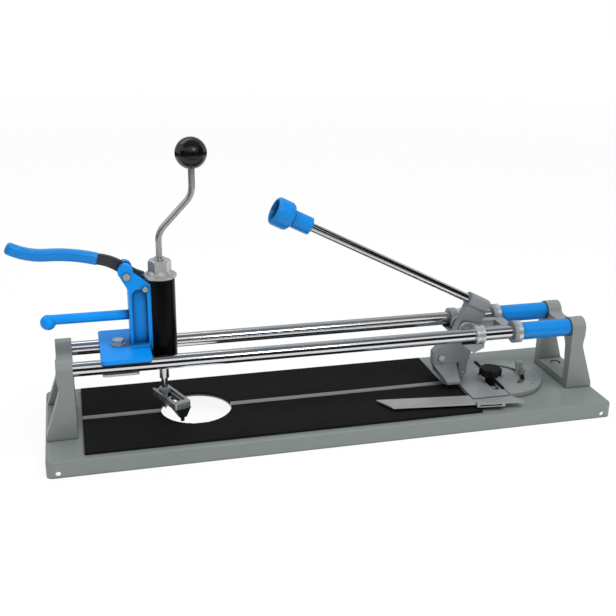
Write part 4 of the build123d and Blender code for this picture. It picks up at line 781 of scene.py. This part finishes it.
def coil_tree() -> Tree:
    """Makes the tree of a coil round an upright line: a spring's wire, or a screw thread's ridge.

    Returns:
        The tree.
    """
    made = Tree(
        "coil",
        {
            "Turns": float, "Radius": float, "Height": float, "Wire": float, "Sides": int,
            "X": float, "Y": float, "Z": float, "Material": bpy.types.Material,
        },
    )
    tree, given = made.tree, made.given
    points_per_turn = 24
    spiral = add_node(
        tree,
        "GeometryNodeCurveSpiral",
        {
            "Resolution": points_per_turn,
            "Rotations": given["Turns"],
            "Start Radius": given["Radius"],
            "End Radius": given["Radius"],
            "Height": given["Height"],
        },
    ).outputs[0]
    edge = add_node(
        tree,
        "GeometryNodeCurvePrimitiveCircle",
        {"Resolution": given["Sides"], "Radius": given["Wire"]},
        mode="RADIUS",
    ).outputs["Curve"]
    wound = add_node(
        tree, "GeometryNodeCurveToMesh", {"Curve": spiral, "Profile Curve": edge, "Fill Caps": True}
    ).outputs[0]
    place = add_node(
        tree, "ShaderNodeCombineXYZ", {"X": given["X"], "Y": given["Y"], "Z": given["Z"]}
    ).outputs[0]
    moved = add_node(tree, "GeometryNodeTransform", {"Geometry": wound, "Translation": place}).outputs[0]
    made.close(moved)
    return made


@dataclass
class Base:
    """Base pan with its mats, ridge, posts and rails.

    Attributes:
        paints: where the finishes come from.
        rib_pitch_mm: from rib to rib on the mats.
        rib_depth_mm: depth of the grooves between them.
        rows_per_rib: steps that draw one rib.
        edge_slack_mm: how near a point lies to an edge that it belongs to.
    """

    paints: Paintbox
    rib_pitch_mm: float = 2.5
    rib_depth_mm: float = 0.35
    rows_per_rib: int = 8
    edge_slack_mm: float = 0.01

    def build(self) -> None:
        """Makes the mats and dresses the rest."""
        paints = self.paints
        paints.dress(BASE_ENAMEL, "base_pan")
        paints.dress(POST_ENAMEL, "left_post", "right_post")
        paints.dress(RIDGE_METAL, "breaking_ridge")
        paints.dress(RAIL_CHROME, "front_rail", "rear_rail")
        paints.dress(BLUE_PLASTIC, "front_sleeve", "rear_sleeve")
        paints.dress(ZINC_PLATE, "post_bolts")
        tree = ribbed_sheet_tree()
        for node, name in (("front_pad", "front_mat"), ("rear_pad", "rear_mat")):
            self.mat(tree, node, name)

    def hole(self) -> tuple[float, float]:
        """Finds the waste hole from the gap in the front pad's inner edge.

        Returns:
            The hole's middle along X and its radius.
        """
        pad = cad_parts["front_pad"].data
        inner_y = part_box("front_pad")[1].y
        slack = self.edge_slack_mm * MM
        # rounded to a hundredth of a millimetre, so that the points of one corner count once
        edge = sorted({round(v.co.x, 5) for v in pad.vertices if abs(v.co.y - inner_y) < slack})
        left, right = edge[1], edge[-2]
        return (left + right) / 2, math.hypot((right - left) / 2, inner_y)

    def mat(self, tree: Tree, node: str, name: str) -> None:
        """Makes one ribbed mat, as a half on either side of the waste hole.

        Args:
            tree: the ribbed sheet's tree.
            node: CAD node that the mat replaces.
            name: mat's name, which the halves' names start with.
        """
        low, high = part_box(node)
        middle, radius = self.hole()
        pitch = self.rib_pitch_mm * MM
        for word, side, end in (("left", -1.0, low.x), ("right", 1.0, high.x)):
            half = tree.mesh(
                f"{name}_{word}",
                {
                    "End": end,
                    "Hole X": middle,
                    "Hole radius": radius,
                    "Side": side,
                    "Inner": low.y,
                    "Outer": high.y,
                    "Bed": low.z,
                    "Thickness": high.z - low.z,
                    "Pitch": pitch,
                    "Depth": self.rib_depth_mm * MM,
                    "Rows": int((high.y - low.y) / pitch * self.rows_per_rib),
                    "Material": self.paints.get(MAT_RUBBER),
                },
            )
            fix_normals(half)
            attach(half, "base")
            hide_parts(node)
            LOG.info("made %s", half.name)


@dataclass
class Carriage:
    """Carriage with the scoring and breaking lever.

    Attributes:
        paints: where the finishes come from.
    """

    paints: Paintbox

    def build(self) -> None:
        """Dresses the carriage and the lever."""
        paints = self.paints
        paints.dress(CAST_ALLOY, "carriage_body", "lever_casting", "breaker_foot")
        paints.dress(BUSH_STEEL, "carriage_bushes")
        paints.dress(ZINC_PLATE, "lever_pin", "foot_screw", "wheel_axle")
        paints.dress(TOOL_STEEL, "scoring_wheel")
        paints.dress(ROD_CHROME, "handle_rod")
        paints.dress(BLUE_PLASTIC, "handle_cap")


@dataclass
class AngleStop:
    """Protractor plate with its fence and ruler.

    Attributes:
        paints: where the finishes come from.
        mark_inset_mm: marks' outer ends inside the plate's rim.
        mark_step_deg: from mark to mark.
        mark_span_deg: from the first mark to the last.
        mark_every: from long mark to long mark, counted in marks.
        mark_short_mm: length of a short mark.
        mark_long_mm: length of a long mark.
        mark_width_mm: width of a mark.
        mark_height_mm: thickness of a mark's paint.
        number_inset_mm: numbers' middles inside the plate's rim.
        number_size_mm: height of the numbers.
        number_paint_mm: thickness of their paint, above and below the plate's face.
        number_step_deg: from number to number.
        number_last_deg: last number to either side.
        thread_pitch_mm: from turn to turn of the clamp stud's thread.
        thread_ridge_mm: radius of the thread's ridge.
        thread_sides: sides of the ridge's section.
        stud_mm: diameter of the clamp stud.
        strip_air_mm: air between the black strip of painted shade and the ruler.
        strip_width_mm: strip's width.
        strip_rise_mm: strip's top above the half disc.
        strip_round_mm: radius of its upper edges.
        strip_segments: steps that draw one rounded edge.
    """

    paints: Paintbox
    mark_inset_mm: float = 1.0
    mark_step_deg: float = 5.0
    mark_span_deg: float = 150.0
    mark_every: int = 3
    mark_short_mm: float = 2.5
    mark_long_mm: float = 4.5
    mark_width_mm: float = 0.45
    mark_height_mm: float = 0.08
    number_inset_mm: float = 9.0
    number_size_mm: float = 5.0
    number_paint_mm: float = 0.04
    number_step_deg: int = 15
    number_last_deg: int = 45
    thread_pitch_mm: float = 1.0
    thread_ridge_mm: float = 0.35
    thread_sides: int = 4
    stud_mm: float = 6.0
    strip_air_mm: float = 0.5
    strip_width_mm: float = 4.7
    strip_rise_mm: float = 2.2
    strip_round_mm: float = 0.8
    strip_segments: int = 3

    def build(self) -> None:
        """Dresses the stop, marks its scale and adds the thread and the black strip of painted shade."""
        paints = self.paints
        paints.dress(PLATE_ALLOY, "angle_plate")
        paints.dress(FENCE_ALLOY, "fence_arm")
        paints.dress(RULER_STEEL, "ruler", "ruler_clip")
        paints.dress(KNOB_NYLON, "fence_knob")
        paints.dress(ZINC_PLATE, "angle_pivot_pin", "angle_clamp_bolt", "angle_wing_nut")
        self.marks()
        self.numbers()
        self.thread()
        self.strip()

    def marks(self) -> None:
        """Engraves the degree marks along the plate's rim."""
        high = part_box("angle_plate")[1]
        middle = sum(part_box("angle_pivot_pin"), Vector()) / 2
        marks = scale_marks_tree().mesh(
            "angle_marks",
            {
                "Count": int(self.mark_span_deg / self.mark_step_deg) + 1,
                "Every": self.mark_every,
                "Middle X": middle.x,
                "Middle Y": middle.y,
                "Z": high.z,
                "Radius": high.x - middle.x - self.mark_inset_mm * MM,
                "Start": math.radians(-self.mark_span_deg / 2),
                "Step": math.radians(self.mark_step_deg),
                "Short": self.mark_short_mm * MM,
                "Long": self.mark_long_mm * MM,
                "Width": self.mark_width_mm * MM,
                "Height": self.mark_height_mm * MM,
                "Material": self.paints.get(MARK_INK),
            },
        )
        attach(marks, "angle_stop")
        LOG.info("made %s", marks.name)

    def numbers(self) -> None:
        """Engraves the degrees inside the marks."""
        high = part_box("angle_plate")[1]
        middle = sum(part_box("angle_pivot_pin"), Vector()) / 2
        reach = high.x - middle.x - self.number_inset_mm * MM
        upright = Matrix.Rotation(math.radians(90), 4, "Z")
        last, step = self.number_last_deg, self.number_step_deg
        work = bmesh.new()
        for degree in range(-last, last + 1, step):
            words = bpy.data.curves.new("number", "FONT")
            words.body = str(abs(degree))
            words.size = self.number_size_mm * MM
            words.align_x, words.align_y = "CENTER", "CENTER"
            words.extrude = self.number_paint_mm * MM
            mesh = baked_mesh(add_object("number", words))
            turn = Matrix.Rotation(math.radians(degree), 4, "Z")
            place = Matrix.Translation((middle.x, middle.y, high.z)) @ turn
            mesh.transform(place @ Matrix.Translation((reach, 0.0, 0.0)) @ upright)
            work.from_mesh(mesh)
            bpy.data.meshes.remove(mesh)
        bmesh.ops.remove_doubles(work, verts=work.verts[:], dist=WELD)
        bmesh.ops.recalc_face_normals(work, faces=work.faces[:])
        mesh = worked_mesh("angle_numbers", work)
        mesh.materials.append(self.paints.get(MARK_INK))
        numbers = add_object("angle_numbers", mesh)
        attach(numbers, "angle_stop")
        LOG.info("made %s", numbers.name)

    def thread(self) -> None:
        """Winds the thread round the clamp stud above the wing nut's hub."""
        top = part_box("angle_clamp_bolt")[1].z
        nut_low, nut_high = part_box("angle_wing_nut")
        start = (nut_low.z + nut_high.z) / 2
        middle = (nut_low + nut_high) / 2
        thread = coil_tree().mesh(
            "clamp_stud_thread",
            {
                "Turns": (top - start) / (self.thread_pitch_mm * MM),
                "Radius": self.stud_mm / 2 * MM,
                "Height": top - start,
                "Wire": self.thread_ridge_mm * MM,
                "Sides": self.thread_sides,
                "X": middle.x,
                "Y": middle.y,
                "Z": start,
                "Material": self.paints.get(ZINC_PLATE),
            },
        )
        fix_normals(thread)
        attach(thread, "base")
        LOG.info("made %s", thread.name)

    def strip(self) -> None:
        """Lays a black strip in the gap beside the half disc, as painted shade for the shadowed gap."""
        fence_low, fence_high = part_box("fence_arm")
        plate_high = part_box("angle_plate")[1]
        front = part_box("ruler")[1].y + self.strip_air_mm * MM
        size = Vector(
            (
                self.strip_width_mm * MM,
                fence_high.y - front,
                plate_high.z + self.strip_rise_mm * MM - fence_low.z,
            )
        )
        place = Vector((fence_high.x, front, fence_low.z)) + size / 2
        work = bmesh.new()
        bmesh.ops.create_cube(
            work, size=1.0, matrix=Matrix.Translation(place) @ Matrix.Diagonal((*size, 1.0))
        )
        crown = [edge for edge in work.edges if all(vert.co.z > place.z for vert in edge.verts)]
        bmesh.ops.bevel(
            work,
            geom=crown,
            offset=self.strip_round_mm * MM,
            segments=self.strip_segments,
            profile=0.5,
            affect="EDGES",
        )
        mesh = worked_mesh("fence_gap_shade", work)
        # Painted shade: the black rubber finish stands in for the gap's shadow
        mesh.materials.append(self.paints.get(MAT_RUBBER))
        strip = add_object("fence_gap_shade", mesh)
        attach(strip, "fence")
        LOG.info("made %s", strip.name)


@dataclass
class HoleCutter:
    """Hand-cranked hole cutter on its bracket.

    Attributes:
        paints: where the finishes come from.
        wire_mm: diameter of the spring's wire.
        wire_sides: sides of the wire's section.
        spring_turns: turns of the spring.
        lift_mm: how far the squeeze lever lifts the spindle against it; not used.
    """

    paints: Paintbox
    wire_mm: float = 3.4
    wire_sides: int = 12
    spring_turns: float = 8.0
    lift_mm: float = 8.5

    def build(self) -> None:
        """Dresses the bracket, the lever, the spindle and the cutter, and winds the spring."""
        paints = self.paints
        paints.dress(BLUE_ENAMEL, "hole_bracket", "lower_handle")
        paints.dress(HOUSING_ENAMEL, "spring_housing")
        paints.dress(BLUE_PLASTIC, "lever_grip")
        paints.dress(DARK_STEEL, "squeeze_lever")
        paints.dress(ZINC_PLATE, "clamp_plate", "clamp_bolt", "clamp_nut", "housing_screw")
        paints.dress(ZINC_PLATE, "squeeze_pin", "spindle_washer", "spindle_nut", "arm_nut")
        paints.dress(GUIDE_BRONZE, "housing_bush")
        paints.dress(ROD_CHROME, "spindle")
        paints.dress(CRANK_STEEL, "crank_rod")
        paints.dress(KNOB_PHENOLIC, "crank_knob")
        paints.dress(ARM_STEEL, "cutter_arm")
        paints.dress(BLACK_OXIDE, "cutter_holder")
        paints.dress(TOOL_STEEL, "pilot_drill", "cutter_tip")
        self.spring()

    def spring(self) -> None:
        """Winds the return spring inside the housing."""
        low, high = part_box("spindle_spring")
        middle = (low + high) / 2
        length = high.z - low.z
        wire = self.wire_mm / 2 * MM
        spring = coil_tree().mesh(
            "return_spring",
            {
                "Turns": self.spring_turns,
                "Radius": (high.x - low.x) / 2 - wire,
                "Height": length - 2 * wire,
                "Wire": wire,
                "Sides": self.wire_sides,
                "X": middle.x,
                "Y": middle.y,
                "Z": low.z + wire,
                "Material": self.paints.get(DARK_STEEL),
            },
        )
        fix_normals(spring)
        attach(spring, "hole_unit")
        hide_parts("spindle_spring")
        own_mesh(spring)
        LOG.info("made %s", spring.name)


@dataclass(frozen=True)
class Lamp:
    """One soft box lamp.

    Attributes:
        name: lamp's name.
        place: where it stands.
        target: where it points.
        size: width and height of the box.
        power: watts.
        mirrored: whether shiny surfaces show it.
    """

    name: str
    place: Triple
    target: Triple
    size: tuple[float, float]
    power: float
    mirrored: bool = True

    def build(self) -> None:
        """Sets the lamp up."""
        data = bpy.data.lights.new(self.name, "AREA")
        data.shape = "RECTANGLE"
        data.size, data.size_y = self.size
        data.energy = self.power
        lamp = add_object(self.name, data)
        lamp.location = self.place
        ahead = Vector(self.target) - Vector(self.place)
        lamp.rotation_euler = ahead.to_track_quat("-Z", "Y").to_euler()
        lamp.visible_glossy = self.mirrored


LAMPS = (
    # Most of the light and the soft shadow; chrome shows the grey screen in its place
    Lamp("key", (0.5, -0.75, 2.2), (0.05, 0.0, 0.1), (2.2, 1.1), 38.0, mirrored=False),
    # Small highlights on the knobs and the plastic
    Lamp("glint", (0.35, -1.6, 1.5), (-0.1, 0.0, 0.2), (0.45, 0.28), 5.0),
    # Light from behind, which parts the upper edges from the white
    Lamp("back", (-0.6, 1.2, 1.9), (-0.1, 0.0, 0.1), (2.2, 1.0), 13.0),
)


@dataclass
class Studio:
    """Floor, soft lights, pale world and the camera.

    Attributes:
        eye: camera's place.
        yaw_deg: camera's turn from +Y towards +X.
        pitch_deg: camera's tilt down.
        roll_deg: camera's roll.
        lens_mm: focal length on a sensor of sensor_mm.
        sensor_mm: sensor's width.
        clip: nearest and farthest distance that the camera draws.
        white: floor and backdrop.
        floor_half: half the floor's width.
        floor_glow: share of the floor's white that shadows don't darken, near the object.
        shadow_range: distances at which shadows start to fade and at which none are left.
        dome_light: strength of the even light from all round.
        flag: colour of the dark cards that only mirrors see.
        flag_segments: cards in their ring.
        flag_reach: how far away they stand.
        flag_low: lower edge of their ring.
        flag_high: its upper edge in front.
        flag_back: its upper edge behind the object.
        flag_side: how far right the side card stands, and how far it reaches to the front.
        flag_side_high: how high it reaches.
        flag_side_back: how far it reaches to the back.
        kerb_front: how far in front the low dark card stands.
        kerb_high: its height.
        screen_light: colour of the screen that only mirrors see, behind the object.
        screen_dark: its colour overhead.
        screen_back: how far behind it hangs.
        screen_top: height of its part overhead, and half its width.
        screen_front: how far that part reaches to the front.
    """

    eye: Triple = (-0.3183, -1.1140, 0.5713)
    yaw_deg: float = 14.536
    pitch_deg: float = 20.049
    roll_deg: float = 0.756
    lens_mm: float = 55.02
    sensor_mm: float = 36.0
    clip: tuple[float, float] = (0.05, 200.0)
    white: str = "#ffffff"
    floor_half: float = 60.0
    floor_glow: float = 0.90
    shadow_range: tuple[float, float] = (1.0, 3.5)
    dome_light: float = 0.35
    flag: str = "#222325"
    flag_segments: int = 48
    flag_reach: float = 1.3
    flag_low: float = 0.005
    flag_high: float = 0.80
    flag_back: float = 0.30
    flag_side: float = 1.9
    flag_side_high: float = 2.1
    flag_side_back: float = 0.3
    kerb_front: float = 0.45
    kerb_high: float = 0.09
    screen_light: str = "#c0c2c4"
    screen_dark: str = "#737577"
    screen_back: float = 1.3
    screen_top: float = 2.7
    screen_front: float = 1.6

    def build(self) -> None:
        """Sets up the studio."""
        self.camera()
        self.floor()
        self.world()
        self.flags()
        self.screen()
        for lamp in LAMPS:
            lamp.build()
        bpy.context.scene.view_settings.view_transform = "Standard"

    def camera(self) -> None:
        """Places the camera at the photograph's viewing angle."""
        yaw, pitch, roll = (math.radians(a) for a in (self.yaw_deg, self.pitch_deg, self.roll_deg))
        ahead = Vector(
            (math.sin(yaw) * math.cos(pitch), math.cos(yaw) * math.cos(pitch), -math.sin(pitch))
        )
        level = Vector((math.cos(yaw), -math.sin(yaw), 0.0))
        above = level.cross(ahead)
        right = math.cos(roll) * level + math.sin(roll) * above
        up = -math.sin(roll) * level + math.cos(roll) * above
        turn = Matrix((right, up, -ahead)).transposed().to_4x4()
        data = bpy.data.cameras.new("camera")
        data.lens = self.lens_mm
        data.sensor_width = self.sensor_mm
        data.clip_start, data.clip_end = self.clip
        camera = add_object("camera", data)
        camera.matrix_world = Matrix.Translation(self.eye) @ turn
        bpy.context.scene.camera = camera

    def looked_at(self, tree: bpy.types.NodeTree) -> bpy.types.NodeSocket:
        """Tells the rays that look from those that only carry light.

        Args:
            tree: shader tree that takes the nodes.

        Returns:
            Socket with 1 for camera, mirror and see-through rays, 0 for the rest.
        """
        ray = add_node(tree, "ShaderNodeLightPath").outputs
        seen = add_node(
            tree, "ShaderNodeMath", {0: ray["Is Camera Ray"], 1: ray["Is Glossy Ray"]}, operation="ADD"
        ).outputs[0]
        return add_node(
            tree,
            "ShaderNodeMath",
            {0: seen, 1: ray["Is Transmission Ray"]},
            operation="ADD",
            use_clamp=True,
        ).outputs[0]

    def floor(self) -> None:
        """Lays a white floor that still takes a soft shadow."""
        material = empty_material("studio_floor")
        tree = material.node_tree
        looked_at = self.looked_at(tree)
        place = add_node(tree, "ShaderNodeTexCoord").outputs["Object"]
        away = add_node(tree, "ShaderNodeVectorMath", {0: place}, operation="LENGTH").outputs["Value"]
        near, far = self.shadow_range
        evened = add_node(
            tree,
            "ShaderNodeMapRange",
            {"Value": away, "From Min": near, "From Max": far, "To Min": self.floor_glow, "To Max": 1.0},
        ).outputs["Result"]
        share = add_node(
            tree, "ShaderNodeMath", {0: looked_at, 1: evened}, operation="MULTIPLY"
        ).outputs[0]
        white = linear(self.white)
        matt = add_node(tree, "ShaderNodeBsdfDiffuse", {"Color": white}).outputs[0]
        glow = add_node(tree, "ShaderNodeEmission", {"Color": white, "Strength": 1.0}).outputs[0]
        mixed = add_node(tree, "ShaderNodeMixShader", {0: share, 1: matt, 2: glow}).outputs[0]
        add_node(tree, "ShaderNodeOutputMaterial", {"Surface": mixed})
        half = self.floor_half
        corners = [(-half, -half, 0.0), (half, -half, 0.0), (half, half, 0.0), (-half, half, 0.0)]
        mesh = bpy.data.meshes.new("floor")
        mesh.from_pydata(corners, [], [(0, 1, 2, 3)])
        mesh.materials.append(material)
        floor = add_object("floor", mesh)

    def world(self) -> None:
        """Gives an even light and a white backdrop that metal shows too."""
        world = bpy.data.worlds.new("studio")
        world.use_nodes = True
        tree = world.node_tree
        tree.nodes.clear()
        looked_at = self.looked_at(tree)
        light, backdrop = (
            add_node(
                tree, "ShaderNodeBackground", {"Color": linear(self.white), "Strength": strength}
            ).outputs[0]
            for strength in (self.dome_light, 1.0)
        )
        mixed = add_node(tree, "ShaderNodeMixShader", {0: looked_at, 1: light, 2: backdrop}).outputs[0]
        add_node(tree, "ShaderNodeOutputWorld", {"Surface": mixed})
        bpy.context.scene.world = world

    def flags(self) -> None:
        """Sets a ring of dark cards, a side card and a low one, which give chrome its black lines."""
        work = bmesh.new()
        foot, head = (
            bmesh.ops.create_circle(
                work,
                segments=self.flag_segments,
                radius=self.flag_reach,
                matrix=Matrix.Translation((0.0, 0.0, self.flag_low)),
            )["verts"]
            for _ in range(2)
        )
        for vert in head:
            vert.co.z = self.flag_high if vert.co.y < 0 else self.flag_back
        for at, vert in enumerate(foot):
            beside = (at + 1) % len(foot)
            work.faces.new((vert, foot[beside], head[beside], head[at]))
        low, side, kerb = self.flag_low, self.flag_side, self.kerb_front
        for start, end, high in (
            ((side, -side), (side, self.flag_side_back), self.flag_side_high),
            ((-self.flag_reach, -kerb), (self.flag_reach, -kerb), self.kerb_high),
        ):
            corners = ((*start, low), (*end, low), (*end, high), (*start, high))
            work.faces.new(work.verts.new(corner) for corner in corners)
        self.card("flags", work, self.flag)

    def screen(self) -> None:
        """Hangs a grey screen behind and over the object, which gives chrome its grey upper half."""
        work = bmesh.new()
        half, back, top = self.screen_top, self.screen_back, self.screen_top
        bends = (
            (back, self.flag_back),
            (back, top - back / 2),
            (back / 2, top),
            (-self.screen_front, top),
        )
        rows = [
            [work.verts.new((side, depth, height)) for side in (-half, half)]
            for depth, height in bends
        ]
        for low, high in zip(rows, rows[1:]):
            work.faces.new((low[0], low[1], high[1], high[0]))
        self.card("screen", work, self.screen_light, self.screen_dark)

    def card(
        self, name: str, work: bmesh.types.BMesh, colour: str, ahead: str | None = None
    ) -> None:
        """Turns a mesh into a card that only mirrors see.

        Args:
            name: card's name.
            work: its mesh, which ends here.
            colour: its colour, all over or at the screen's distance behind the object.
            ahead: its colour over the object and in front, if that is another one.
        """
        material = empty_material(name + "_card")
        tree = material.node_tree
        shown = linear(colour)
        if ahead:
            place = add_node(tree, "ShaderNodeTexCoord").outputs["Object"]
            depth = add_node(tree, "ShaderNodeSeparateXYZ", {0: place}).outputs["Y"]
            fade = add_node(
                tree,
                "ShaderNodeMapRange",
                {
                    "Value": depth,
                    "From Min": self.screen_back,
                    "From Max": 0.0,
                    "To Min": 0.0,
                    "To Max": 1.0,
                },
            ).outputs["Result"]
            shown = add_node(
                tree, "ShaderNodeMix", {0: fade, 6: shown, 7: linear(ahead)}, data_type="RGBA"
            ).outputs[2]
        plain = add_node(tree, "ShaderNodeEmission", {"Color": shown, "Strength": 1.0}).outputs[0]
        add_node(tree, "ShaderNodeOutputMaterial", {"Surface": plain})
        mesh = worked_mesh(name, work)
        mesh.materials.append(material)
        card = add_object(name, mesh)
        card.visible_camera = False
        card.visible_diffuse = False
        card.visible_shadow = False


def main() -> None:
    """Builds the studio and dresses every sub-assembly."""
    logging.basicConfig(level=logging.INFO, format="%(name)s: %(message)s")
    Studio().build()
    paints = Paintbox()
    for part in (Base(paints), Carriage(paints), AngleStop(paints), HoleCutter(paints)):
        part.build()
        LOG.info("finished %s", type(part).__name__)


if __name__ == "__main__":
    main()
